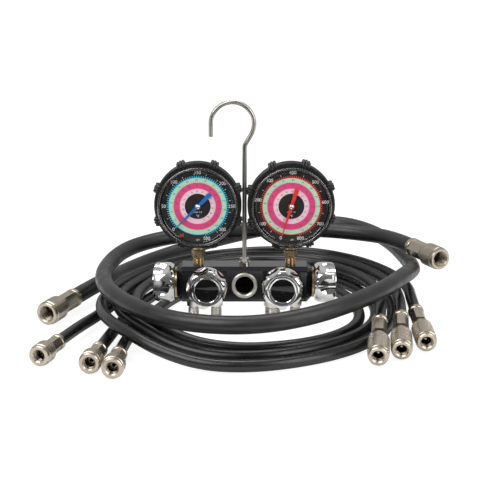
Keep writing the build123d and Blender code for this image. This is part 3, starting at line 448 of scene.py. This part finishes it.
def thread_tree():
    tree, given, result = start_tree("wind_thread", (
        ("Radius", "NodeSocketFloat"), ("Turns", "NodeSocketFloat"), ("Length", "NodeSocketFloat"),
        ("Ridge", "NodeSocketFloat"), ("Material", "NodeSocketMaterial")))
    helix = tree.nodes.new("GeometryNodeCurveSpiral")
    helix.inputs["Resolution"].default_value = TURN_SEGMENTS
    for label, source in (("Rotations", "Turns"), ("Start Radius", "Radius"), ("End Radius", "Radius"),
                          ("Height", "Length")):
        tree.links.new(given[source], helix.inputs[label])
    ridge = tree.nodes.new("GeometryNodeCurvePrimitiveCircle")
    ridge.inputs["Resolution"].default_value = RIDGE_SIDES
    tree.links.new(given["Ridge"], ridge.inputs["Radius"])
    sweep = tree.nodes.new("GeometryNodeCurveToMesh")
    sweep.inputs["Fill Caps"].default_value = True
    tree.links.new(helix.outputs[0], sweep.inputs["Curve"])
    tree.links.new(ridge.outputs[0], sweep.inputs["Profile Curve"])
    return finish_tree(tree, sweep.outputs[0], given["Material"], result)


THREAD = thread_tree()


def thread(name, place, radius, length, pitch, finish):
    """A wound ridge from height 0 to length about the place's Z axis."""
    blank = new_piece(name, bmesh.new())
    return run_tree(blank, THREAD, {"Radius": radius, "Turns": length / pitch, "Length": length,
                                    "Ridge": RIDGE_SHARE * pitch, "Material": finish}, place)


def along(position, direction):
    """Matrix with its Z axis along a direction at a position."""
    turn = Vector(direction).to_track_quat("Z", "Y").to_matrix().to_4x4()
    return Matrix.Translation(Vector(position)) @ turn


# %% [markdown]
# ## The dials
# A dial is printed in flat colours: rings first, then marks, then numbers. Each ring is a sheet of ink
# 0.03 mm thick, so every edge stays sharp however close the view is.

# %% Inks
def ink(name, colour):
    finish = Finish(name, colour, roughness=0.5)
    shade = tuple(0.93 * channel for channel in colour)
    return finish.tint(finish.ramp(finish.noise(300), shade, colour)).material


INKS = {
    "cyan": ink("cyan_ink", (0.02, 0.6, 0.82)),
    "red": ink("red_ink", (0.82, 0.06, 0.05)),
    "green": ink("pale_green_ink", (0.46, 0.72, 0.52)),
    "magenta": ink("magenta_ink", (0.72, 0.05, 0.2)),
    "pink": ink("pale_pink_ink", (0.86, 0.6, 0.68)),
    "white": ink("white_ink", (0.92, 0.92, 0.9)),
    "dark": ink("dark_ink", (0.03, 0.05, 0.05)),
}
INK = 0.03 * MM
# printed rings: ink, inner and outer radius (mm); the comb's own ring lies round them
BANDS = (("green", 25.0, 29.6), ("magenta", 18.6, 25.0), ("pink", 13.4, 18.6))
COMB_RING = (29.6, 30.3)
BAND_SEGMENTS = 160
BAND_LIFT = 0.01 * MM
MARK_LIFT = 0.06 * MM


def dial_place(gauge, lift=0.0):
    """Dial coordinates: X right, Y up, Z out of the face."""
    low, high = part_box(f"{gauge}_dial")
    centre = (low + high) / 2
    return Matrix.Translation((centre.x, low.y - lift, centre.z)) @ Matrix.Rotation(pi / 2, 4, "X")


def bands(gauge, comb_ink):
    tool = bmesh.new()
    rings = [*BANDS, (comb_ink, *COMB_RING)]
    for k, (_, inner, outer) in enumerate(rings):
        lathe(tool, [(inner * MM, 0), (outer * MM, 0), (outer * MM, INK), (inner * MM, INK)],
              BAND_SEGMENTS, k, smooth=False)
    finishes = [INKS[name] for name, _, _ in rings]
    piece = settle(new_piece(f"{gauge}_bands", tool, finishes), dial_place(gauge, BAND_LIFT))
    return hand_over(piece, "manifold")


def mark(name, length, width, thickness=INK):
    """A flat bar that starts at the circle and runs outwards."""
    tool = bmesh.new()
    bmesh.ops.create_cube(tool, size=1)
    bmesh.ops.scale(tool, vec=(length, width, thickness), verts=tool.verts)
    bmesh.ops.translate(tool, vec=(length / 2, 0, thickness / 2), verts=tool.verts)
    return new_piece(name, tool)


# %% Dial scales: marks by the tree, numbers as text
SCALES = {
    "low_gauge": {"comb": "cyan", "zero": 224.0, "sweep": 299.0, "count": 70,
                  "labels": (("0", 224), ("50", 180), ("100", 134), ("150", 90), ("200", 43), ("250", 0),
                             ("300", -44), ("500", -75), ("psi", 270)),
                  "red_labels": (("30", 241),)},
    "high_gauge": {"comb": "red", "zero": 252.0, "sweep": 326.0, "count": 80,
                   "labels": (("0", 252), ("100", 212), ("200", 169), ("300", 130), ("400", 88), ("500", 46),
                              ("600", 7), ("700", -32), ("800", -74), ("psi", 272)),
                   "red_labels": ()},
}
LONG_EVERY = 5              # a long mark stands beside every fifth tooth of the comb
INNER_STEPS = 60
LABEL_RADIUS = 35.3
LABEL_SIZE = 4.9
UNIT_SIZE = 2.8
# small numbers printed in the rings: radius (mm), first number and step
SMALL_NUMBERS = ((27.6, 10, 10), (22.0, 0, 10), (15.6, 5, 5))
SMALL_COUNT = 15
SMALL_SIZE = 2.4
CENTRE_WORDS = [("class 1.6", 270, 6.0, 2.6, 0), ("°F", 270, 10.4, 3.6, 0)]


def text_mesh(word, size):
    """One word as a plain mesh about its own middle; size is in mm."""
    text = bpy.data.curves.new("word", "FONT")
    text.body = word
    text.size = size * MM
    text.align_x = "CENTER"
    text.align_y = "CENTER"
    text.extrude = INK / 2
    holder = bpy.data.objects.new("word", text)
    scene.collection.objects.link(holder)
    evaluated = holder.evaluated_get(bpy.context.evaluated_depsgraph_get())
    mesh = bpy.data.meshes.new_from_object(evaluated)
    bpy.data.objects.remove(holder)
    return mesh


def words(name, rows, place, finishes):
    """Printed upright words: rows of (word, angle, radius, size, ink number)."""
    tool = bmesh.new()
    for word, angle, radius, size, ink_number in rows:
        mesh = text_mesh(word, size)
        spot = Vector((radius * cos(radians(angle)), radius * sin(radians(angle)), 0)) * MM
        mesh.transform(Matrix.Translation(spot))
        first = len(tool.faces)
        tool.from_mesh(mesh)
        tool.faces.ensure_lookup_table()
        for face in tool.faces[first:]:
            face.material_index = ink_number
        bpy.data.meshes.remove(mesh)
    return settle(new_piece(name, tool, finishes), place)


def dial_marks(gauge, scale):
    """Four rings of marks that start at the zero and run clockwise over the sweep."""
    start, sweep, count = radians(scale["zero"]), -radians(scale["sweep"]), scale["count"]
    # name, ink, length, width and inner radius (mm), and the number of steps
    rows = (("fine", scale["comb"], 2.0, 0.8, 30.2, count),
            ("long", "white", 1.5, 0.45, 33.1, count // LONG_EVERY),
            ("green", "dark", 1.2, 0.2, 25.1, INNER_STEPS),
            ("pink", "dark", 1.0, 0.2, 17.4, INNER_STEPS))
    pieces = []
    for label, ink_name, length, width, radius, steps in rows:
        unit = mark(f"{gauge}_{label}_marks", length * MM, width * MM)
        pieces.append(repeat(unit, INKS[ink_name], steps + 1, radius * MM, start, sweep / steps,
                             place=dial_place(gauge, MARK_LIFT)))
    return pieces


def dial_words(gauge, scale):
    """The scale's numbers, the small numbers in the rings and the words at the centre."""
    place = dial_place(gauge, MARK_LIFT)
    numbers = [(word, angle, LABEL_RADIUS, UNIT_SIZE if word == "psi" else LABEL_SIZE, 0)
               for word, angle in scale["labels"]]
    numbers += [(word, angle, LABEL_RADIUS, LABEL_SIZE, 1) for word, angle in scale["red_labels"]]
    small = []
    for radius, first, step in SMALL_NUMBERS:
        for k in range(SMALL_COUNT):
            angle = scale["zero"] - scale["sweep"] * (k + 0.6) / SMALL_COUNT
            small.append((str(first + step * k), angle, radius, SMALL_SIZE, 0))
    return [words(f"{gauge}_numbers", numbers, place, [INKS["white"], INKS["red"]]),
            words(f"{gauge}_small_numbers", small, place, [INKS["dark"]]),
            words(f"{gauge}_centre_words", CENTRE_WORDS, place, [INKS["white"]])]


def dial_scales(gauge, scale):
    pieces = dial_marks(gauge, scale) + dial_words(gauge, scale)
    for piece in pieces:
        hand_over(piece, "manifold")
    print(gauge, "scale pieces:", len(pieces))


for gauge, scale in SCALES.items():
    bands(gauge, scale["comb"])
    dial_scales(gauge, scale)

# %% [markdown]
# ## Pointer hubs
# Each pointer is pressed on its shaft with a small bright hub. The window's edge is thicker than its
# middle, and that moulded bead is what catches the light.


# %% Pointer hubs
HUB = ((0, 0), (2.5, 0), (2.5, 0.5), (2.1, 0.9), (1.3, 1.0), (1.1, 1.3), (0, 1.3))
HUB_SINK = 0.9              # depth of the hub's foot behind the pointer's front (mm)
HUB_SEGMENTS = 40


def above_dial(gauge, part):
    """Height of a part's front above the dial's face."""
    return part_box(f"{gauge}_dial")[0].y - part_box(f"{gauge}_{part}")[0].y


def hub(gauge):
    tool = bmesh.new()
    lathe(tool, [(radius * MM, height * MM) for radius, height in HUB], HUB_SEGMENTS)
    place = dial_place(gauge, above_dial(gauge, "pointer") - HUB_SINK * MM)
    piece = settle(new_piece(f"{gauge}_hub", tool, [FINISHES["nickel"]]), place)
    return hand_over(piece, f"{gauge}_needle")


for gauge in SCALES:
    hub(gauge)

# %% The bead moulded round each window
BEAD_RADIUS = 40.1
BEAD_HALF_WIDTH = 1.1
BEAD_HALF_HEIGHT = 0.7
BEAD_SIDES = 12
BEAD_SEGMENTS = 120


def window_bead(gauge):
    tool = bmesh.new()
    lathe(tool, bent_bar(BEAD_RADIUS, BEAD_HALF_WIDTH, BEAD_HALF_HEIGHT, BEAD_SIDES), BEAD_SEGMENTS)
    place = dial_place(gauge, above_dial(gauge, "lens"))
    piece = settle(new_piece(f"{gauge}_window_bead", tool, [FINISHES["lens_edge"]]), place)
    return hand_over(piece, "manifold")


for gauge in SCALES:
    window_bead(gauge)

# %% [markdown]
# ## Knots on the boots
# Eight knots tie the boot's two cords together. Each is three turns of cord side by side, round the
# front cord and again round the back one. One knot is modelled and the tree sets the eight round the gauge.

# %% Knots
KNOT_COUNT = 8
KNOT_START = {"low_gauge": 22.5, "high_gauge": 25.5}
KNOT_RADIUS = 44.2 * MM
FRONT_CORD = 3.6 * MM       # depth of the front cord behind the boot's front
# turns of one knot (mm): place along the rim and the turn's own radius, the middle one outermost
KNOT_TURNS = ((-2.9, 3.3), (0.0, 3.7), (2.9, 3.3))
CORD_RADIUS = 1.4
CORD_SIDES = 8
TURN_SIDES = 18


def knot(name, front, back):
    """Wraps of cord round both strands, drawn with X outwards and Z along the gauge's axis."""
    tool = bmesh.new()
    for height in (front, back):
        for side, reach in KNOT_TURNS:
            ring = bmesh.new()
            lathe(ring, bent_bar(reach, CORD_RADIUS, CORD_RADIUS, CORD_SIDES), TURN_SIDES)
            ring_mesh = bpy.data.meshes.new("ring")
            ring.to_mesh(ring_mesh)
            ring.free()
            ring_mesh.transform(Matrix.Translation((0, side * MM, height)) @ Matrix.Rotation(pi / 2, 4, "X"))
            tool.from_mesh(ring_mesh)
            bpy.data.meshes.remove(ring_mesh)
    return new_piece(name, tool)


for gauge, start in KNOT_START.items():
    low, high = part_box(f"{gauge}_boot")
    front = above_dial(gauge, "boot")
    middle = front - (high.y - low.y) / 2
    piece = repeat(knot(f"{gauge}_knots", front - FRONT_CORD, middle), FINISHES["boot_rubber"],
                   KNOT_COUNT, KNOT_RADIUS, radians(start), place=dial_place(gauge))
    hand_over(piece, "manifold")

# %% [markdown]
# ## Fittings: knurls and threads
# Fingers turn these nuts, so they are knurled. The left nuts have straight flutes and the low-loss
# sleeves a diamond knurl. Every mouth shows the first turns of its thread.

# %% Fitting sizes, as machined in the frame
ENDS = {
    "suction_left": "thick", "suction_right": "thick",
    "outer_left": "thin", "middle_left": "thin", "inner_left": "thin",
    "outer_right": "sleeve", "middle_right": "sleeve", "inner_right": "sleeve",
}
# mm: nut's outer and thread's radius, the thread's pitch and length, where the knurl starts and stops,
# its rows and marks around, and the whole fitting's length
FITTINGS = {
    "thick": {"outer": 12.7, "mouth": 7.95, "pitch": 1.41, "thread": 13.0, "knurl": (6.5, 23.2), "rows": 1,
              "around": 72, "length": 60.0},
    "thin": {"outer": 10.7, "mouth": 5.55, "pitch": 1.27, "thread": 7.6, "knurl": (6.5, 16.0), "rows": 1,
             "around": 60, "length": 46.0},
    "sleeve": {"outer": 10.5, "mouth": 5.55, "pitch": 1.27, "thread": 6.6, "knurl": (7.0, 32.2), "rows": 18,
               "around": 36, "length": 76.0},
}
FLUTE_SHARE = 0.36          # half width of a straight ridge as a share of its step
FLUTE_HEIGHT = 0.22 * MM
DIAMOND_SHARE = 0.5
DIAMOND_HEIGHT = 0.36 * MM
MOUTH_CHAMFER = 1.4 * MM
joint_of = {joint["name"]: joint for joint in frame["joints"]}


def end_place(end):
    """Matrix at a nut's open face, with Z along the fitting towards the hose."""
    joint = joint_of[f"{end}_spin"]
    return along(joint["pos_m"], joint["axis"])


def straight_ridge(name, width, length, height):
    """A low ridge along Z on a cylinder's surface, narrower at its crest and sloped at its ends."""
    tool = bmesh.new()
    crest, half = height * 0.4, width * 0.5
    ends = []
    for foot, top in ((0, height), (length, length - height)):
        ends.append([tool.verts.new(point) for point in (
            (-height, -width, foot), (-height, width, foot), (crest, half, top), (crest, -half, top))])
    lower, upper = ends
    tool.faces.new(lower)
    tool.faces.new(reversed(upper))
    for k in range(4):
        tool.faces.new((lower[k], lower[(k + 1) % 4], upper[(k + 1) % 4], upper[k]))
    return new_piece(name, tool)


def diamond(name, width, length, height):
    """A four-sided point that stands on a cylinder's surface."""
    tool = bmesh.new()
    corners = [tool.verts.new((-height, y, z)) for y, z in
               ((-width, 0), (0, -length), (width, 0), (0, length))]
    tip = tool.verts.new((height, 0, 0))
    tool.faces.new(reversed(corners))
    for k in range(4):
        tool.faces.new((corners[k], corners[(k + 1) % 4], tip))
    return new_piece(name, tool)


def knurl(end, kind):
    size = FITTINGS[kind]
    start, stop = size["knurl"]
    surface = size["outer"] * MM
    step = 2 * pi / size["around"]
    place = end_place(end) @ Matrix.Translation((0, 0, start * MM))
    name = f"{end}_knurl"
    if size["rows"] == 1:
        unit = straight_ridge(name, surface * step * FLUTE_SHARE, (stop - start) * MM, FLUTE_HEIGHT)
        piece = repeat(unit, FINISHES["knurled_nickel"], size["around"], surface, step=step, place=place)
    else:
        pitch = (stop - start) * MM / size["rows"]
        unit = diamond(name, surface * step * DIAMOND_SHARE, pitch, DIAMOND_HEIGHT)
        piece = repeat(unit, FINISHES["knurled_nickel"], size["around"], surface, step=step,
                       rows=size["rows"], pitch=pitch, row_turn=step / 2, place=place)
    return hand_over(piece, f"{end}_swivel")


def mouth_thread(end, kind):
    size = FITTINGS[kind]
    place = end_place(end) @ Matrix.Translation((0, 0, MOUTH_CHAMFER))
    piece = thread(f"{end}_mouth_thread", place, size["mouth"] * MM, size["thread"] * MM,
                   size["pitch"] * MM, FINISHES["champagne_nickel"])
    return hand_over(piece, f"{end}_swivel")


on_hose = {}
for end, kind in ENDS.items():
    hose = end.split("_")[0]
    dressed = [knurl(end, kind), mouth_thread(end, kind), nodes[f"{end}_nut"]]
    on_hose.setdefault(hose, []).extend(dressed)
print("fittings dressed:", len(ENDS))

# %% [markdown]
# ## Port and gauge threads
# The ports under the block and the brass necks under the gauges show real threads.

# %% Port and gauge threads
UPWARDS = (0, 0, 1)
PORTS = {"low_side_port": 5.55, "charging_port": 5.55, "vacuum_port": 7.95, "high_side_port": 5.55}
PORT_SINK = 0.2             # how far the ridge's centre lies inside the port's outer radius
# mm: a thread's start above the floor or above the block, its length and its pitch
PORT_THREAD = (4.6, 8.0, 1.3)
NECK_THREAD = (0.6, 6.6, 1.27)
NECK_RADIUS = 5.0


def upright_thread(name, x, y, base, sizes, radius, finish):
    start, length, pitch = (size * MM for size in sizes)
    piece = thread(name, along((x, y, base + start), UPWARDS), radius * MM, length, pitch, FINISHES[finish])
    return hand_over(piece, "manifold")


for mount in frame["record"]["mounts"]:
    if mount["name"] in PORTS:
        x, y, _ = mount["pos_m"]
        upright_thread(f"{mount['name']}_thread", x, y, 0, PORT_THREAD, PORTS[mount["name"]] - PORT_SINK,
                       "nickel")
for gauge in SCALES:
    low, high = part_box(f"{gauge}_socket")
    centre = (low + high) / 2
    upright_thread(f"{gauge}_neck_thread", centre.x, centre.y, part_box("manifold_body")[1].z, NECK_THREAD,
                   NECK_RADIUS, "bright_brass")

# %% [markdown]
# ## The hoses
# A hose is a fixed length of rubber that lies where its stiffness puts it. Each route is a handful of
# points for a NURBS curve, straight out of one ferrule, round the block and into the other.

# %% Hose routes (mm), from the left fitting round the loop to the right one
ROUTES = {
    "suction": [
        (-146, 163, 12), (-119, 215, 13), (-80, 254, 18), (-32, 280, 26), (20, 295, 35), (72, 301, 42),
        (120, 290, 46), (157, 258, 43), (180, 210, 37), (191, 158, 31), (191, 106, 33), (183, 58, 42),
        (168, 14, 47), (144, -38, 48), (110, -84, 47), (66, -120, 43), (15, -138, 39), (-38, -134, 38),
        (-84, -108, 38), (-119, -66, 40), (-143, -14, 40), (-154, 42, 40), (-152, 97, 41), (-138, 146, 45),
        (-106, 182, 48), (-60, 202, 51), (-6, 214, 53), (46, 218, 53), (97, 213, 53), (143, 193, 53),
    ],
    "outer": [
        (-158, -18, 9.5), (-147, 32, 6.3), (-133, 84, 6.2), (-108, 138, 6.2), (-72, 186, 6.2),
        (-24, 216, 6.2), (30, 226, 6.2), (84, 212, 6.2), (126, 174, 6.2), (152, 124, 6.2), (161, 68, 6.2),
        (159, 14, 6.2), (148, -36, 6.2), (128, -80, 6.2), (98, -116, 6.2), (58, -144, 6.2), (10, -162, 6.2),
        (-38, -161, 7), (-80, -144, 15), (-112, -116, 24.5), (-135, -78, 25.5), (-148, -32, 24),
        (-151, 16, 22), (-143, 66, 21), (-126, 114, 21), (-100, 160, 21), (-60, 202, 21), (-10, 230, 21),
        (42, 240, 21), (92, 228, 21), (134, 192, 21), (163, 142, 21), (177, 90, 22), (179, 42, 24.5),
    ],
    "middle": [
        (-131, -42, 7.5), (-124, 6, 6.3), (-112, 56, 6.2), (-94, 104, 6.2), (-66, 148, 6.2), (-26, 180, 6.2),
        (22, 192, 6.2), (70, 182, 6.2), (110, 150, 6.2), (134, 102, 6.2), (142, 50, 6.2), (140, 2, 6.2),
        (127, -42, 6.2), (101, -82, 6.2), (62, -114, 6.2), (18, -133, 6.2), (-30, -134, 6.5), (-71, -117, 12),
        (-102, -87, 21.5), (-123, -48, 22.5), (-134, -4, 22), (-133, 42, 21.2), (-120, 88, 21),
        (-101, 130, 21), (-70, 168, 21), (-30, 198, 21), (16, 213, 21), (62, 210, 21), (105, 190, 21),
        (138, 152, 21), (157, 104, 21.5), (164, 54, 23.5), (163, 14, 26.5),
    ],
    "inner": [
        (-112, -58, 7.5), (-103, -12, 6.3), (-92, 34, 6.2), (-76, 80, 6.2), (-50, 120, 6.2), (-16, 148, 6.2),
        (26, 158, 6.2), (66, 148, 6.2), (98, 118, 6.2), (117, 76, 6.2), (123, 32, 6.2), (121, -12, 6.2),
        (106, -51, 6.2), (78, -82, 6.2), (40, -102, 6.2), (-4, -110, 6.2), (-48, -100, 9), (-82, -75, 16.5),
        (-105, -40, 21.5), (-116, 4, 21.5), (-114, 50, 21), (-102, 92, 21), (-84, 130, 21), (-54, 163, 21),
        (-14, 186, 21), (34, 194, 21), (80, 180, 21), (115, 146, 21), (137, 100, 21.5), (145, 50, 23),
        (144.5, -1, 27.5),
    ],
}
# length and diameter of the hose, and its straight runs out of the left and right ferrules (mm)
HOSES = {
    "suction": (1747, 18.0, 50.0, 42.0),
    "outer": (1877, 12.0, 42.0, 30.0),
    "middle": (1690, 12.0, 36.0, 30.0),
    "inner": (1508, 12.0, 36.0, 30.0),
}
THICK_HOSE = 15             # a hose of a larger diameter (mm) keeps the plain hose rubber; thinner ones get its darker copy, painted shade

# %% The hoses
def ferrule_end(end):
    """Where the hose comes out of its ferrule, and its direction there."""
    place = end_place(end)
    outwards = place.to_3x3() @ Vector((0, 0, 1))
    return place.translation + outwards * FITTINGS[ENDS[end]]["length"] * MM, outwards


def hose_curve(name):
    """One hose as a round NURBS curve from ferrule to ferrule."""
    length, diameter, first_run, last_run = HOSES[name]
    start, start_way = ferrule_end(f"{name}_left")
    finish, finish_way = ferrule_end(f"{name}_right")
    points = [start, start + start_way * first_run * MM]
    points += [Vector(point) * MM for point in ROUTES[name]]
    points += [finish + finish_way * last_run * MM, finish]
    curve = bpy.data.curves.new(f"{name}_rubber_hose", "CURVE")
    curve.dimensions = "3D"
    curve.resolution_u = 10
    curve.bevel_depth = diameter / 2 * MM
    curve.bevel_resolution = 7
    spline = curve.splines.new("NURBS")
    spline.points.add(len(points) - 1)
    for spot, point in zip(spline.points, points):
        spot.co = (*point, 1)
    spline.order_u = 3
    spline.use_endpoint_u = True
    # thin hoses take the darker rubber, which is painted shade
    curve.materials.append(FINISHES["hose_rubber" if diameter > THICK_HOSE else "shaded_small_hose_rubber"])
    piece = bpy.data.objects.new(f"{name}_rubber_hose", curve)
    scene.collection.objects.link(piece)
    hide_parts(f"{name}_hose")
    hand_over(piece, "manifold")


for name in HOSES:
    hose_curve(name)
print("hoses:", {name: values[0] for name, values in HOSES.items()})

# %% [markdown]
# ## The studio
# A white table, a white room for the camera, and soft lamps. Chrome shows what is round it, so the room
# that it mirrors is darker towards the camera, as a real studio is.


# %% The studio
TABLE_SIZE = 8
TABLE_DROP = 0.3 * MM
TABLE_GLOW = 1.2
GLOW_SHARE = 0.75           # of the table that the camera sees
NEAR_SIDE = (-0.2, -0.5)    # where the table's mirror image starts and ends to darken (m, towards the camera)
ROOM_DARK = (0.16, 0.16, 0.165, 1)
ROOM_LIGHT = (0.65, 0.65, 0.65, 1)
ROOM_SEEN = (1.3, 1.3, 1.3, 1)
ROOM_STRENGTH = 0.85
# place and size (m) and power (W) of each lamp
LAMPS = {
    "key_softbox": ((-0.9, -1.0, 1.3), (1.5, 1.3), 26),
    "fill_softbox": ((1.2, -0.9, 0.8), (0.9, 1.4), 13),
    "top_softbox": ((0.0, 0.5, 1.6), (1.2, 0.6), 11),
}


def floor():
    """White table that glows for the camera and is dim in mirrors on the camera's side."""
    bpy.ops.mesh.primitive_plane_add(size=TABLE_SIZE)
    table = bpy.context.object
    table.name = "table"
    finish = Finish("white_table", (0.9, 0.9, 0.9), roughness=0.8)
    glow = finish.add("ShaderNodeEmission")
    glow.inputs["Strength"].default_value = TABLE_GLOW
    path = finish.add("ShaderNodeLightPath")
    share = finish.add("ShaderNodeMath", operation="MAXIMUM")
    finish.link(path.outputs["Is Camera Ray"], share.inputs[0])
    finish.link(path.outputs["Is Transmission Ray"], share.inputs[1])
    amount = finish.add("ShaderNodeMath", operation="MULTIPLY")
    amount.inputs[1].default_value = GLOW_SHARE
    finish.link(share.outputs[0], amount.inputs[0])
    mix = finish.add("ShaderNodeMixShader")
    finish.link(amount.outputs[0], mix.inputs[0])
    finish.link(finish.shader.outputs["BSDF"], mix.inputs[1])
    finish.link(glow.outputs["Emission"], mix.inputs[2])
    split = finish.add("ShaderNodeSeparateXYZ")
    finish.link(finish.place(), split.inputs[0])
    near = finish.add("ShaderNodeMapRange")
    near.inputs["From Min"].default_value, near.inputs["From Max"].default_value = NEAR_SIDE
    finish.link(split.outputs["Y"], near.inputs["Value"])
    mirrored = finish.add("ShaderNodeMath", operation="MULTIPLY")
    finish.link(near.outputs["Result"], mirrored.inputs[0])
    finish.link(path.outputs["Is Glossy Ray"], mirrored.inputs[1])
    dim = finish.add("ShaderNodeEmission")
    dim.inputs["Color"].default_value = (0.1, 0.1, 0.1, 1)
    dimmed = finish.add("ShaderNodeMixShader")
    finish.link(mirrored.outputs[0], dimmed.inputs[0])
    finish.link(mix.outputs["Shader"], dimmed.inputs[1])
    finish.link(dim.outputs["Emission"], dimmed.inputs[2])
    finish.link(dimmed.outputs["Shader"], finish.tree.nodes["Material Output"].inputs["Surface"])
    table.data.materials.append(finish.material)
    table.location.z = -TABLE_DROP


def room():
    """White for the camera, and grey that darkens towards the camera for all that mirrors it."""
    world = bpy.data.worlds.new("studio")
    scene.world = world
    world.use_nodes = True
    tree = world.node_tree
    background = tree.nodes["Background"]
    place = tree.nodes.new("ShaderNodeTexCoord")
    split = tree.nodes.new("ShaderNodeSeparateXYZ")
    tree.links.new(place.outputs["Generated"], split.inputs[0])
    depth = tree.nodes.new("ShaderNodeValToRGB")
    for stop, position, colour in zip(depth.color_ramp.elements, (0.1, 0.55), (ROOM_DARK, ROOM_LIGHT)):
        stop.position = position
        stop.color = colour
    to_unit = tree.nodes.new("ShaderNodeMapRange")
    to_unit.inputs["From Min"].default_value = -1
    tree.links.new(split.outputs["Y"], to_unit.inputs["Value"])
    tree.links.new(to_unit.outputs["Result"], depth.inputs["Fac"])
    path = tree.nodes.new("ShaderNodeLightPath")
    seen = tree.nodes.new("ShaderNodeMath")
    seen.operation = "MAXIMUM"
    tree.links.new(path.outputs["Is Camera Ray"], seen.inputs[0])
    tree.links.new(path.outputs["Is Transmission Ray"], seen.inputs[1])
    mix = tree.nodes.new("ShaderNodeMix")
    mix.data_type = "RGBA"
    tree.links.new(seen.outputs[0], mix.inputs["Factor"])
    tree.links.new(depth.outputs["Color"], mix.inputs[6])
    mix.inputs[7].default_value = ROOM_SEEN
    tree.links.new(mix.outputs[2], background.inputs["Color"])
    background.inputs["Strength"].default_value = ROOM_STRENGTH


def lamp(name, spot, size, power):
    light = bpy.data.lights.new(name, "AREA")
    light.shape = "RECTANGLE"
    light.size, light.size_y = size
    light.energy = power
    holder = bpy.data.objects.new(name, light)
    scene.collection.objects.link(holder)
    holder.location = spot
    holder.rotation_euler = (LOOK_AT - Vector(spot)).to_track_quat("-Z", "Y").to_euler()


floor()
room()
for name, (spot, size, power) in LAMPS.items():
    lamp(name, spot, size, power)
scene.view_settings.view_transform = "Standard"
